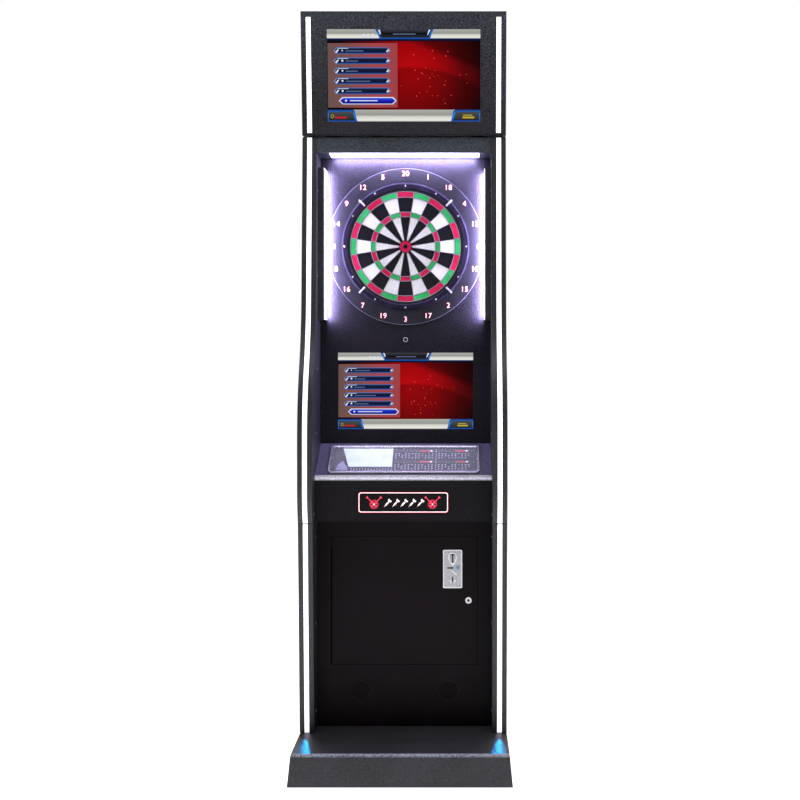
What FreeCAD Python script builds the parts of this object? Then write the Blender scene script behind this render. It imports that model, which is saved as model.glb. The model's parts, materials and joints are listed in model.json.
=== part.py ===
import FreeCAD, Part
import math
import os
import re
import Sketcher

# Free-standing coin-operated dart machine. Origin: middle of the footprint, on the floor.
# +Z is up, +X to a player's right, and +Y runs from the player to the back of the cabinet.

V = FreeCAD.Vector
doc = FreeCAD.newDocument("dart_machine")
sheet = doc.addObject("Spreadsheet::Sheet", "Sizes")

# Every size that can be chosen on its own, in millimetres. "_y" values are distances in front
# of the origin, so they become negative Y; "_up" and "_down" values are measured along Z.
sizes = {
    # target board, in front of everything else because it sets the width of the machine
    "disc_rad": 269, "disc_thick": 3, "wall_gap": 23, "segment_travel": 1.5,
    "bull_rad": 8.2, "outer_bull_rad": 20.6, "triple_wide": 16.6, "triple_out": 119,
    "double_wide": 20, "double_out": 189, "web": 1.6, "segment_fit": 0.25, "segment_deep": 20,
    "segment_proud": 5, "spider_proud": 6.2, "spider_deep": 9, "tub_wall": 3, "tub_rim": 4.6,
    "catch_wide": 22, "catch_proud": 9, "catch_fit": 0.4, "catch_split": 3, "matrix_thick": 1.2,
    "matrix_gap": 0.5, "tub_flange": 16,
    # base
    "base_high": 105, "base_flare": 10, "base_front": 353, "base_sheet": 2, "skirt_gap": 5,
    "base_round": 6, "foot_rad": 22, "foot_high": 9, "foot_in": 62, "stud_rad": 5,
    "stud_long": 46, "stud_down": 25, "foot_bevel": 2, "foot_slope": 4, "boss_rad": 14,
    "nut_rad": 9, "nut_high": 6, "screw_fit": 0.05,
    # cabinet
    "column_wide": 48, "skin": 1.6, "rear": 343, "lower_high": 692, "foot_y": 117, "seam_y": 164,
    "belly_y": 184, "waist_y": 130.5, "neck_y": 73, "brow_y": 44, "chin_up": 117,
    "belly_up": 272, "waist_up": 513, "neck_up": 744, "chin_curve": 352, "belly_curve": 570,
    "neck_curve": 631, "led_wide": 15, "led_deep": 8, "led_fit": 0.2,
    # lower front, with its door
    "panel_y": 40, "flange": 20, "door_side": 48, "door_low": 207, "door_top": 57,
    "door_gap": 1.5, "door_deep": 18, "door_sheet": 2, "pin_in": 4, "pin_rad": 1.6,
    "pin_long": 10, "pin_head": 2.3, "pin_head_high": 1.5, "pin_fit": 0.06,
    "speaker_side": 147, "speaker_up": 119, "speaker_rad": 38, "speaker_deep": 34,
    "grille_hole": 2.2, "grille_pitch": 8,
    # coin acceptor and lock
    "coin_in": 82, "coin_down": 109, "plate_wide": 64, "plate_high": 127, "plate_thick": 3,
    "plate_lap": 5, "slot_wide": 3.4, "slot_high": 27, "slot_up": 32,
    "shield_proud": 2, "button": 15,
    "button_fit": 0.2, "button_right": 17.5, "button_up": 4, "button_proud": 2.5,
    "return_wide": 25, "return_high": 30, "return_down": 38,
    "flap_thick": 1.5, "flap_fit": 0.5, "mech_wide": 50, "mech_deep": 44, "mech_set": 7,
    "mech_floor": 6, "cup_short": 10, "cup_wall": 2, "lock_in": 29, "lock_down": 214,
    "lock_rad": 9.5, "lock_rim": 11.5,
    "lock_proud": 3, "plug_rad": 6, "plug_fit": 0.05, "cam_long": 42, "cam_wide": 11,
    "cam_thick": 2, "cam_fit": 0.5, "key_wide": 1.6, "key_long": 7.5, "key_deep": 4,
    # control deck
    "deck_rise": 248, "recess": 68, "panel_thick": 3, "nose_y": 110, "nose_drop": 101,
    "nose_round": 14, "deck_sheet": 2, "tray_wide": 504, "tray_long": 165, "tray_rim": 12,
    "tray_high": 6, "tray_round": 2.5, "cover_thick": 3, "cover_lift": 1, "cover_fit": 0.3,
    "badge_wide": 298, "badge_high": 70, "badge_proud": 3, "badge_up": 64, "badge_round": 8,
    # stack on the board panel, from the deck up
    "screen_gap": 49, "screen_wide": 464, "screen_high": 262, "screen_rim": 12,
    "screen_deep": 40, "camera_gap": 45, "camera_rad": 8.5, "lens_rad": 5, "camera_long": 22,
    "camera_proud": 2, "board_gap": 50, "top_gap": 34, "fascia_high": 51, "fascia_y": 42,
    # lamps
    "lamp_side": 40, "lamp_front": 8, "lamp_back": 15, "lamp_high": 24, "diffuser": 3,
    "side_lamp_thick": 22, "side_lamp_deep": 84, "side_lamp_high": 513, "side_lamp_drop": 44,
    # head
    "head_gap": 6, "head_high": 400, "head_low_y": 50, "head_top_y": 98, "head_rear": 300,
    "head_screen_wide": 508, "head_screen_high": 300, "head_screen_up": 45, "head_plate": 2.5,
    "head_led_in": 25, "head_led_low": 8, "head_led_high": 376, "head_boss": 18,
    "boss_in": 40, "boss_fore": 20, "boss_aft": 240, "cover_in": 40, "cover_up": 30,
    # inside the lower cabinet and on its back
    "box_wide": 130, "box_deep": 120, "box_high": 110, "box_wall": 1.2, "pc_wide": 180,
    "pc_deep": 200, "pc_high": 260, "pc_wall": 1, "supply_wide": 150, "supply_deep": 140,
    "supply_high": 86, "supply_wall": 1, "inside_gap": 15, "case_gap": 35, "pc_in": 40,
    "slot_in": 20, "slot_low": 25, "vent_drop": 60, "vent_drop_top": 80, "vent_wide": 120, "vent_high": 4,
    "vent_pitch": 12, "inlet_side": 220, "inlet_up": 75, "inlet_wide": 28, "inlet_high": 20,
    "inlet_deep": 26, "inlet_lap": 11, "inlet_pin": 2,
}

# Sizes that follow from the ones above.
derived = {
    "half": "disc_rad + wall_gap + column_wide",
    "inner": "half - column_wide",
    "seam_z": "base_high + lower_high",
    "deck_z": "seam_z + deck_rise",
    "screen_z": "deck_z + screen_gap",
    "camera_z": "screen_z + screen_high + camera_gap",
    "bull_z": "camera_z + board_gap + disc_rad",
    "fascia_z": "bull_z + disc_rad + top_gap",
    "roof_z": "fascia_z + fascia_high",
    "head_z": "roof_z + head_gap",
    "top_z": "head_z + head_high",
    "door_half": "inner - door_side",
    "door_z": "base_high + door_low",
    "door_high": "lower_high - door_low - door_top",
    "door_top_z": "door_z + door_high",
    "coin_x": "door_half - coin_in",
    "coin_z": "door_top_z - coin_down",
    "lock_x": "door_half - lock_in",
    "lock_z": "door_top_z - lock_down",
    "flange_y": "-panel_y + flange",
    "triple_in": "triple_out - triple_wide",
    "double_in": "double_out - double_wide",
    "tub_rad": "double_out + web/2 + tub_rim + tub_wall",
    "matrix_y": "recess - segment_proud + segment_deep + segment_travel + matrix_gap",
    "nose_y_span": "recess + nose_y",
    "slope_angle": "atan(nose_drop / nose_y_span) / 1deg",
    "lean": "atan((head_top_y - head_low_y) / head_high) / 1deg",
    "lean_long": "sqrt((head_top_y - head_low_y)^2 + head_high^2)",
}

for row, (alias, value) in enumerate(sizes.items(), 1):
    sheet.set(f"A{row}", alias)
    sheet.set(f"B{row}", str(value))
    sheet.setAlias(f"B{row}", alias)
doc.recompute()


def formula(text):
    """Write a size formula with the sheet's own cell names."""
    def full(found):
        word = found.group(0)
        if word in derived:
            return "(" + formula(derived[word]) + ")"
        return "Sizes." + word if word in sizes else word
    return re.sub(r"[a-z][a-z_]*", full, str(text))


def value(text):
    """The number that a size formula gives now, in mm or degrees."""
    result = sheet.evalExpression(formula(text))
    return float(getattr(result, "Value", result))


def bind(obj, prop, text):
    obj.setExpression(prop, formula(text))


def place(obj, x, y, z):
    for axis, text in zip("xyz", (x, y, z)):
        bind(obj, "Placement.Base." + axis, text)
    return obj


def box(name, low, size):
    obj = doc.addObject("Part::Box", name)
    for prop, text in zip(("Length", "Width", "Height"), size):
        bind(obj, prop, text)
    return place(obj, *low)


# A rod starts at its point and runs along +X, +Y or +Z.
turns = {"x": FreeCAD.Rotation(V(0, 1, 0), 90), "y": FreeCAD.Rotation(V(1, 0, 0), -90),
         "z": FreeCAD.Rotation()}


def rod(name, start, radius, length, along):
    obj = doc.addObject("Part::Cylinder", name)
    bind(obj, "Radius", radius)
    bind(obj, "Height", length)
    obj.Placement.Rotation = turns[along]
    return place(obj, *start)


def join(name, *pieces):
    obj = doc.addObject("Part::MultiFuse", name)
    obj.Shapes = list(pieces)
    return obj


def group(name, *pieces):
    obj = doc.addObject("Part::Compound", name)
    obj.Links = list(pieces)
    return obj


def cut(name, base, *tools):
    obj = doc.addObject("Part::Cut", name)
    obj.Base = base
    obj.Tool = tools[0] if len(tools) == 1 else group(name + "_cuts", *tools)
    return obj


def mirrored(obj):
    copy = doc.addObject("Part::Mirroring", obj.Name + "_left")
    copy.Source = obj
    copy.Normal = V(1, 0, 0)
    return copy


def pair(name, right):
    """The right-hand piece and its mirror image, as one group."""
    return group(name, right, mirrored(right))


def body(name):
    return doc.addObject("PartDesign::Body", name)


def outline(part, name, plane, points, lift=0):
    """A closed sketch through points (u, v) or (u, v, radius): a radius makes the edge from that
    point to the next an arc, which bulges to the right of the edge's direction."""
    sketch = part.newObject("Sketcher::SketchObject", name)
    origin_plane = [f for f in part.Origin.OriginFeatures if f.Role == plane + "_Plane"][0]
    sketch.AttachmentSupport = [(origin_plane, "")]
    sketch.MapMode = "FlatFace"
    bind(sketch, "AttachmentOffset.Base.z", lift)
    spots = [V(value(point[0]), value(point[1]), 0) for point in points]
    ends = []
    for index, point in enumerate(points):
        start, stop = spots[index], spots[(index + 1) % len(points)]
        if len(point) == 2:
            sketch.addGeometry(Part.LineSegment(start, stop), False)
        else:
            radius = value(point[2])
            chord = stop - start
            rise = abs(radius) - math.sqrt(radius ** 2 - (chord.Length / 2) ** 2)
            side = V(chord.y, -chord.x, 0) / chord.Length * math.copysign(rise, radius)
            middle = (start + stop) / 2 + side
            sketch.addGeometry(Part.Arc(start, middle, stop), False)
        forward = (sketch.getPoint(index, 1) - start).Length < (sketch.getPoint(index, 2) - start).Length
        ends.append((1, 2) if forward else (2, 1))
    for index, point in enumerate(points):
        following = (index + 1) % len(points)
        sketch.addConstraint(Sketcher.Constraint("Coincident", index, ends[index][1],
                                                 following, ends[following][0]))
        for kind, text in (("DistanceX", point[0]), ("DistanceY", point[1])):
            number = sketch.addConstraint(Sketcher.Constraint(kind, -1, 1, index, ends[index][0],
                                                              value(text)))
            sketch.renameConstraint(number, f"{kind}_{index}")
            bind(sketch, f"Constraints.{kind}_{index}", text)
        if len(point) == 3:
            number = sketch.addConstraint(Sketcher.Constraint("Radius", index,
                                                              abs(value(point[2]))))
            sketch.renameConstraint(number, f"Radius_{index}")
            bind(sketch, f"Constraints.Radius_{index}", str(point[2]).lstrip("-"))
    return sketch


def pad(part, sketch, length, both_ways=False):
    feature = part.newObject("PartDesign::Pad", sketch.Name + "_pad")
    feature.Profile = sketch
    if both_ways:
        feature.SideType = "Symmetric"
    bind(feature, "Length", length)
    return feature


def pocket(part, sketch, length, both_ways=False):
    """Cuts along the sketch's normal, or both ways from it."""
    doc.recompute()
    before = part.Shape.Volume
    feature = part.newObject("PartDesign::Pocket", sketch.Name + "_pocket")
    feature.Profile = sketch
    if both_ways:
        feature.SideType = "Symmetric"
    else:
        feature.Reversed = True
    bind(feature, "Length", length)
    doc.recompute()
    if part.Shape.Volume > before - 0.01:
        raise RuntimeError(f"{sketch.Name} cuts nothing")
    return feature


def turned(name, points, at, stretch=360):
    """A turned piece: points (radius, distance along +Y), spun about the Y axis through at."""
    part = body(name)
    sketch = outline(part, name + "_section", "XY", points)
    spin = part.newObject("PartDesign::Revolution", name + "_turn")
    spin.Profile = sketch
    spin.ReferenceAxis = (sketch, ["V_Axis"])
    spin.Angle = stretch
    return place(part, *at)


def edges_at(shape, test):
    """Names of the edges whose ends and middle all pass the test."""
    names = []
    for index, edge in enumerate(shape.Edges, 1):
        middle = edge.valueAt((edge.FirstParameter + edge.LastParameter) / 2)
        if all(test(p) for p in [middle] + [v.Point for v in edge.Vertexes]):
            names.append(f"Edge{index}")
    return names


def soften(part, kind, size, test):
    """Fillet or chamfer the body's edges that pass the test."""
    doc.recompute()
    last = part.Tip
    names = edges_at(last.Shape, test)
    if not names:
        raise RuntimeError(f"{part.Name} has no such edges")
    feature = part.newObject("PartDesign::" + kind, part.Name + "_" + kind.lower())
    feature.Base = (last, names)
    bind(feature, "Radius" if kind == "Fillet" else "Size", size)
    return feature


def near(a, b):
    return abs(a - b) < 0.01


nodes = []


def node(obj):
    """A finished sub-part, whose Label names its file."""
    obj.Label = obj.Name
    nodes.append(obj)
    return obj


def rounded(name, base, size, test):
    """A Part::Fillet on the edges that pass the test."""
    doc.recompute()
    obj = doc.addObject("Part::Fillet", name)
    obj.Base = base
    numbers = [int(edge[4:]) for edge in edges_at(base.Shape, test)]
    if not numbers:
        raise RuntimeError(f"{name} has no such edges")
    obj.Edges = [(number, value(size), value(size)) for number in numbers]
    return obj


# ---- base: a flared sheet-steel box, open below, on four levelling feet ----

def flared_block(name, inset, low, high):
    """The base's tapered block, smaller by inset on every side."""
    block = doc.addObject("Part::Wedge", name)
    bind(block, "Ymin", low)
    bind(block, "Ymax", high)
    reaches = {"Xmin": "-half", "Xmax": "half", "Zmin": "-rear", "Zmax": "base_front - base_flare"}
    for prop, reach in reaches.items():
        way = -1 if "min" in prop else 1
        bind(block, prop, f"{reach} + {way}*(base_flare - {inset})")
        bind(block, prop.replace("m", "2m"), f"{reach} - {way}*{inset}")
    block.Placement.Rotation = FreeCAD.Rotation(V(1, 0, 0), 90)
    return block


foot_spots = [(f"{side}*(half - foot_in)", y) for side in (-1, 1)
              for y in ("-(base_front - foot_in)", "rear + base_flare - foot_in")]


def base_plinth():
    top = value("base_high")
    outside = rounded("base_outside", flared_block("base_block", "0", "skirt_gap", "base_high"),
                      "base_round", lambda p: near(p.z, top))
    inside = flared_block("base_inside", "base_sheet", "skirt_gap - 1", "base_high - base_sheet")
    shell = cut("base_shell", outside, inside)
    bosses = []
    bores = []
    for number, (x, y) in enumerate(foot_spots, 1):
        bosses.append(rod(f"foot_boss_{number}", (x, y, "stud_long"), "boss_rad",
                          "base_high - base_sheet/2 - stud_long", "z"))
        bores.append(rod(f"foot_bore_{number}", (x, y, "stud_long - 1"), "stud_rad + screw_fit",
                         "base_high - base_sheet - stud_long", "z"))
    node(cut("base_plinth", join("base_with_bosses", shell, *bosses), *bores))


def levelling_feet():
    feet = []
    for number, (x, y) in enumerate(foot_spots, 1):
        part = body(f"foot_{number}")
        sketch = outline(part, f"foot_section_{number}", "XZ", [
            (0, 0), ("foot_rad - foot_bevel", 0), ("foot_rad", "foot_bevel"),
            ("foot_rad", "foot_high - foot_slope"),
            ("stud_rad + foot_slope - 1", "foot_high"), ("stud_rad", "foot_high"),
            ("stud_rad", "stud_long - nut_high"), ("nut_rad", "stud_long - nut_high"),
            ("nut_rad", "stud_long"), ("stud_rad", "stud_long"), ("stud_rad", "base_high - stud_down"),
            (0, "base_high - stud_down")])
        spin = part.newObject("PartDesign::Revolution", f"foot_turn_{number}")
        spin.Profile = sketch
        spin.ReferenceAxis = (sketch, ["V_Axis"])
        feet.append(place(part, x, y, 0))
    node(group("levelling_feet", *feet))


# ---- side columns: folded steel channels, open to the rear, with a light slot in front ----

lower_edge = [("-foot_y", "base_high"), ("-seam_y", "seam_z")]
upper_edge = [("-seam_y", "seam_z", "-chin_curve"), ("-belly_y", "seam_z + chin_up"),
              ("-belly_y", "seam_z + belly_up", "-belly_curve"),
              ("-waist_y", "seam_z + waist_up", "neck_curve"),
              ("-neck_y", "seam_z + neck_up"), ("-brow_y", "roof_z")]


def shifted(edge, back):
    """The same front edge, moved back from the player."""
    return [(f"{point[0]} + {back}",) + point[1:] for point in edge]


def closed(edge):
    """A front edge closed by the cabinet's rear."""
    return edge + [("rear", edge[-1][1]), ("rear", edge[0][1])]


def trimmed(edge, raise_by, cap_by):
    """The front edge with its two ends trimmed to the inside of the end sheets."""
    first, last = edge[0], edge[-1]
    return [(first[0], f"{first[1]} + {raise_by}") + first[2:]] + edge[1:-1] + [
        (last[0], f"{last[1]} - ({cap_by})")]


def band(edge, deep):
    """A strip that follows the front edge, deep along Y."""
    back = [(f"{y} + {deep}", z) for y, z in [point[:2] for point in edge]][::-1]
    radii = [point[2] if len(point) == 3 else None for point in edge[:-1]][::-1]
    back = [(y, z) if radius is None else (y, z, flipped(radius))
            for (y, z), radius in zip(back, radii + [None])]
    return edge + back


def flipped(radius):
    return radius[1:] if radius.startswith("-") else "-" + radius


def column(name, edge):
    part = body(name + "_right")
    pad(part, outline(part, name + "_side", "YZ", closed(edge), "inner"), "column_wide")
    inside = [(f"{p[0]} + skin",) + p[1:] for p in trimmed(edge, "skin", "skin")]
    inside += [("rear + 1", inside[-1][1]), ("rear + 1", inside[0][1])]
    pocket(part, outline(part, name + "_hollow", "YZ", inside, "inner + skin"), "column_wide - 2*skin")
    slot = band(trimmed(edge, "1", "1"), "led_deep + skin")
    pocket(part, outline(part, name + "_slot", "YZ", shifted(slot, "-1"),
                         "half - column_wide/2 - led_wide/2 - led_fit"), "led_wide + 2*led_fit")
    return part


def led_strip(name, edge):
    part = body(name)
    strip = band(trimmed(edge, "led_fit + 1", "led_fit + 1"), "led_deep")
    pad(part, outline(part, name + "_side", "YZ", strip, "half - column_wide/2 - led_wide/2"), "led_wide")
    return part


def columns():
    node(pair("lower_sides", column("lower_side", lower_edge)))
    node(pair("upper_sides", column("upper_side", upper_edge)))


# ---- head: a steel case with a front plate that leans out over the player ----

def leaned(obj, z):
    """Stands a piece, drawn upright, on the head's leaning front."""
    obj.Placement.Rotation = FreeCAD.Rotation(V(1, 0, 0), value("lean"))
    return place(obj, 0, "-head_low_y", z)


def head():
    part = body("head_case")
    pad(part, outline(part, "head_side", "YZ", [
        ("-head_low_y", "head_z"), ("head_rear", "head_z"), ("head_rear", "top_z"),
        ("-head_top_y", "top_z")]), "2*half", both_ways=True)
    pocket(part, outline(part, "head_hollow", "YZ", [
        ("-head_low_y - 20", "head_z + skin"), ("head_rear - skin", "head_z + skin"),
        ("head_rear - skin", "top_z - skin"), ("-head_top_y - 20", "top_z - skin")]),
        "2*half - 2*skin", both_ways=True)
    spots = [(side, y) for y in ("boss_fore", "boss_aft") for side in (-1, 1)]
    bosses = [rod(f"head_boss_{n}", (f"{side}*(inner - boss_in)", y, "roof_z"), "head_boss", "head_gap", "z")
              for n, (side, y) in enumerate(spots, 1)]
    node(join("head_shell", part, *bosses))
    plate = box("head_plate", ("-half + skin + 0.2", 0, "2*skin"),
                ("2*half - 2*skin - 0.4", "head_plate", "lean_long - 4*skin"))
    window = box("head_window", ("-head_screen_wide/2", -1, "head_screen_up"),
                 ("head_screen_wide", "head_plate + 2", "head_screen_high"))
    slots = [box(f"head_led_slot_{n}", (f"{a}*(half - head_led_in) - led_wide/2 - led_fit", -1,
                                        "head_led_low - led_fit"),
                 ("led_wide + 2*led_fit", "head_plate + 2", "head_led_high + 2*led_fit"))
             for n, a in enumerate((-1, 1), 1)]
    node(leaned(cut("head_front", plate, window, *slots), "head_z"))
    node(leaned(screen("upper_monitor", "head_screen_wide", "head_screen_high", "head_plate",
                       "head_screen_up"), "head_z"))
    strips = [box(f"head_led_{n}", (f"{a}*(half - head_led_in) - led_wide/2", 0, "head_led_low"),
                  ("led_wide", "led_deep", "head_led_high")) for n, a in enumerate((-1, 1), 1)]
    return leaned(group("head_leds", *strips), "head_z")


def screen(name, wide, high, front, low):
    """A flat monitor behind its window, with a smaller electronics cover on its back."""
    case = box(name + "_case", (f"-{wide}/2 - screen_rim", front, f"{low} - screen_rim"),
               (f"{wide} + 2*screen_rim", "screen_deep/2", f"{high} + 2*screen_rim"))
    cover = box(name + "_cover", (f"-{wide}/2 + cover_in", f"{front} + screen_deep/2", f"{low} + cover_up"),
                (f"{wide} - 2*cover_in", "screen_deep/2", f"{high} - 2*cover_up"))
    return join(name, case, cover)


def led_strips(head_leds):
    strips = [led_strip("lower_led", lower_edge), led_strip("upper_led", upper_edge)]
    strips += [mirrored(strip) for strip in list(strips)]
    node(group("led_strips", *strips, head_leds))


# ---- lower cabinet front: a pan-shaped panel round the service door ----

def lower_front():
    across = "2*inner"
    face = box("front_sheet", ("-inner", "-panel_y", "base_high"), (across, "flange", "lower_high"))
    opening = box("door_opening", ("-door_half - door_gap", "-panel_y - 1", "door_z - door_gap"),
                  ("2*door_half + 2*door_gap", "flange + 2", "door_high + 2*door_gap"))
    behind = box("front_hollow", ("-inner + skin", "-panel_y + skin", "base_high + skin"),
                 (f"{across} - 2*skin", "flange", "lower_high - 2*skin"))
    surround = box("door_surround",
                   ("-door_half - door_gap - skin", "-panel_y", "door_z - door_gap - skin"),
                   ("2*door_half + 2*door_gap + 2*skin", "flange", "door_high + 2*door_gap + 2*skin"))
    holes = []
    for side in (-1, 1):
        for ring in range(5):
            count = max(1, 6 * ring)
            for step in range(count):
                angle = 360 / count * step
                radius = f"{ring}*grille_pitch"
                holes.append(rod(f"grille_{len(holes) + 1}", (
                    f"{side}*speaker_side + {radius}*cos({angle})", "-panel_y - 1",
                    f"base_high + speaker_up + {radius}*sin({angle})"), "grille_hole", "skin + 2", "y"))
    pin_ends = ("door_z - door_gap - skin - 1", "door_top_z + door_gap - 1")
    pins = [rod(f"frame_pin_hole_{n}", ("-door_half + pin_in", "-panel_y + pin_in", z),
                "pin_rad + pin_fit", "skin + 2", "z") for n, z in enumerate(pin_ends, 1)]
    walls = cut("front_walls", face, cut("front_behind", behind, surround))
    node(cut("lower_front_panel", walls, opening, *holes, *pins))


def hinge_pins():
    """Headed pins through the panel's flanges into the door's corners, above and below."""
    pins = []
    x, y = "-door_half + pin_in", "-panel_y + pin_in"
    for n, (way, end) in enumerate(((1, "door_top_z + door_gap + skin"),
                                    (-1, "door_z - door_gap - skin")), 1):
        shank_low = f"{end} - pin_long" if way > 0 else f"{end}"
        head_low = end if way > 0 else f"{end} - pin_head_high"
        shank = rod(f"pin_shank_{n}", (x, y, shank_low), "pin_rad", "pin_long", "z")
        head_disc = rod(f"pin_head_{n}", (x, y, head_low), "pin_head", "pin_head_high", "z")
        pins.append(join(f"hinge_pin_{n}", shank, head_disc))
    node(group("door_hinge_pins", *pins))


def speakers():
    part = turned("speaker_right", [
        (0, 8), ("speaker_rad*0.28", 12), ("speaker_rad*0.86", 2), ("speaker_rad*0.86", 0),
        ("speaker_rad", 0), ("speaker_rad", 4), ("speaker_rad*0.55", "speaker_deep - 12"),
        ("speaker_rad*0.55", "speaker_deep"), (0, "speaker_deep")],
        ("speaker_side", "-panel_y + skin", "base_high + speaker_up"))
    node(pair("speakers", part))


# ---- service door, with the coin acceptor and the lock ----

def service_door():
    part = body("door_pan")
    low, left = "door_z", "-door_half"
    pad(part, outline(part, "door_face", "XY", [
        (left, "-panel_y"), ("door_half", "-panel_y"), ("door_half", "-panel_y + door_deep"),
        (left, "-panel_y + door_deep")], low), "door_high")
    edge_x, edge_y = value(left), value("-panel_y")
    soften(part, "Fillet", "pin_in", lambda p: near(p.x, edge_x) and near(p.y, edge_y))
    pocket(part, outline(part, "door_hollow", "XY", [
        (f"{left} + door_sheet", "-panel_y + door_sheet"),
        ("door_half - door_sheet", "-panel_y + door_sheet"),
        ("door_half - door_sheet", "-panel_y + door_deep + 1"),
        (f"{left} + door_sheet", "-panel_y + door_deep + 1")],
        f"{low} + door_sheet"), "door_high - 2*door_sheet")
    coin_hole = box("coin_cutout", ("coin_x - plate_wide/2 + plate_lap", "-panel_y - 1",
                                    "coin_z - plate_high/2 + plate_lap"),
                    ("plate_wide - 2*plate_lap", "door_sheet + 2", "plate_high - 2*plate_lap"))
    lock_hole = rod("lock_cutout", ("lock_x", "-panel_y - 1", "lock_z"), "lock_rad + screw_fit",
                    "door_sheet + 2", "y")
    pins = rod("door_pin_holes", (f"{left} + pin_in", "-panel_y + pin_in", f"{low} - 1"),
               "pin_rad + pin_fit", "door_high + 2", "z")
    node(cut("service_door", part, coin_hole, lock_hole, pins))


def centred(name, x, y, z, wide, deep, high):
    """A box centred on x and z, running back from y."""
    return box(name, (f"{x} - ({wide})/2", y, f"{z} - ({high})/2"), (wide, deep, high))


button_x, button_z = "coin_x + button_right", "coin_z + button_up"
return_z = "coin_z - return_down"
slot_z = "coin_z + slot_up"
plate_y = "-panel_y - plate_thick"


def coin_faceplate():
    plate = centred("coin_plate", "coin_x", plate_y, "coin_z", "plate_wide", "plate_thick", "plate_high")
    front = value(plate_y)
    plate = rounded("coin_plate_round", plate, "plate_thick/2", lambda p: near(p.y, front))
    shield = rod("coin_shield", ("coin_x", f"{plate_y} - shield_proud", slot_z), "slot_high*0.55",
                 "shield_proud + 0.5", "y")
    slot = centred("coin_slot", "coin_x", f"{plate_y} - shield_proud - 1", slot_z, "slot_wide",
                   "plate_thick + 4", "slot_high")
    button_hole = centred("button_hole", button_x, f"{plate_y} - 1", button_z, "button + 2*button_fit",
                          "plate_thick + 2", "button + 2*button_fit")
    return_hole = centred("return_hole", "coin_x", f"{plate_y} - 1", return_z, "return_wide",
                          "plate_thick + 2", "return_high")
    face = join("coin_face", plate, shield)
    node(cut("coin_faceplate", face, slot, button_hole, return_hole))


def coin_validator():
    """The mechanism behind the plate: coin path above, return cup below."""
    back = "-panel_y + mech_set"
    mech = centred("coin_mech", "coin_x", back, "coin_z + plate_high/8", "mech_wide", "mech_deep",
                   "plate_high*0.6")
    cup_low = f"{return_z} - return_high/2 - cup_wall"
    cup_high = "coin_z + plate_high/8 - plate_high*0.3"
    cup_deep = "mech_deep + mech_set - cup_short"
    cup = box("return_cup_block", ("coin_x - return_wide/2 - cup_wall", "-panel_y", cup_low),
              ("return_wide + 2*cup_wall", cup_deep, f"{cup_high} - ({cup_low})"))
    inside = box("return_cup_inside", ("coin_x - return_wide/2", "-panel_y - 1", f"{cup_low} + cup_wall"),
                 ("return_wide", f"{cup_deep} - cup_wall + 1", "return_high + 1"))
    path = centred("coin_path", "coin_x", f"{back} - 1", slot_z, "slot_wide + 1",
                   "mech_deep - mech_floor", "slot_high + 1")
    node(cut("coin_validator", join("coin_mech_and_cup", mech, cup), inside, path))


def coin_reject_button():
    cap = centred("button_cap", button_x, f"{plate_y} - button_proud", button_z, "button",
                  "button_proud + plate_thick", "button")
    flange = centred("button_flange", button_x, "-panel_y + button_fit", button_z, "button + 3",
                     "flap_thick", "button + 3")
    neck = centred("button_neck", button_x, "-panel_y - 0.5", button_z, "button - 2", 1, "button - 2")
    front = value(f"{plate_y} - button_proud")
    cap = rounded("button_cap_round", cap, "1", lambda p: near(p.y, front))
    node(join("coin_reject_button", cap, neck, flange))


def coin_return_flap():
    flap = centred("flap", "coin_x", f"{plate_y} + 0.5", f"{return_z}", "return_wide - 2*flap_fit",
                   "flap_thick", "return_high - 2*flap_fit")
    rib = centred("flap_rib", "coin_x", f"{plate_y} + 0.5 - 1.2", f"{return_z} - return_high/4",
                  "return_wide/3", 1.4, 2)
    node(join("coin_return_flap", flap, rib))


def lock():
    barrel_end = "flange_y + cam_fit"
    long = f"{barrel_end} + panel_y - cam_fit"
    node(turned("lock_housing", [
        ("plug_rad + plug_fit", "-lock_proud"), ("lock_rim - 1", "-lock_proud"),
        ("lock_rim", "-lock_proud + 1"),
        ("lock_rim", 0), ("lock_rad", 0), ("lock_rad", long), ("plug_rad + plug_fit", long)],
        ("lock_x", "-panel_y", "lock_z")))
    plug = rod("plug_barrel", ("lock_x", "-panel_y - lock_proud + 0.5", "lock_z"), "plug_rad",
               f"{barrel_end} + panel_y + lock_proud - 0.5 + cam_thick/2", "y")
    cam = box("lock_cam_bar", ("lock_x - cam_wide/2", barrel_end, "lock_z - cam_long + cam_wide/2"),
              ("cam_wide", "cam_thick", "cam_long"))
    key = centred("key_slot", "lock_x", "-panel_y - lock_proud", "lock_z", "key_wide", "key_deep",
                  "key_long")
    node(cut("lock_plug", join("plug_and_cam", plug, cam), key))


# ---- control deck: folded sheet with a framed score card under a clear cover ----

def control_panel():
    part = body("control_panel")
    bend = value("90 - slope_angle")
    reach = f"nose_round*tan({bend / 2})"
    slope = value("slope_angle")
    along = (f"{reach}*cos({slope})", f"{reach}*sin({slope})")
    nose_z = "deck_z - nose_drop"
    inner_reach = f"(nose_round - deck_sheet)*tan({bend / 2})"
    drop = f"deck_sheet/cos({slope})"
    inner_corner = ("-nose_y + deck_sheet", f"{nose_z} - {drop} + deck_sheet*tan({slope})")
    inner_along = (f"{inner_reach}*cos({slope})", f"{inner_reach}*sin({slope})")
    section = [
        ("recess", "deck_z"), (f"-nose_y + {along[0]}", f"{nose_z} + {along[1]}", "-nose_round"),
        ("-nose_y", f"{nose_z} - {reach}"), ("-nose_y", "seam_z"), ("-nose_y + deck_sheet", "seam_z"),
        ("-nose_y + deck_sheet", f"{inner_corner[1]} - {inner_reach}", "(nose_round - deck_sheet)"),
        (f"{inner_corner[0]} + {inner_along[0]}", f"{inner_corner[1]} + {inner_along[1]}"),
        ("recess", f"deck_z - {drop}")]
    pad(part, outline(part, "deck_section", "YZ", section), "2*inner", both_ways=True)
    node(part)


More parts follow.
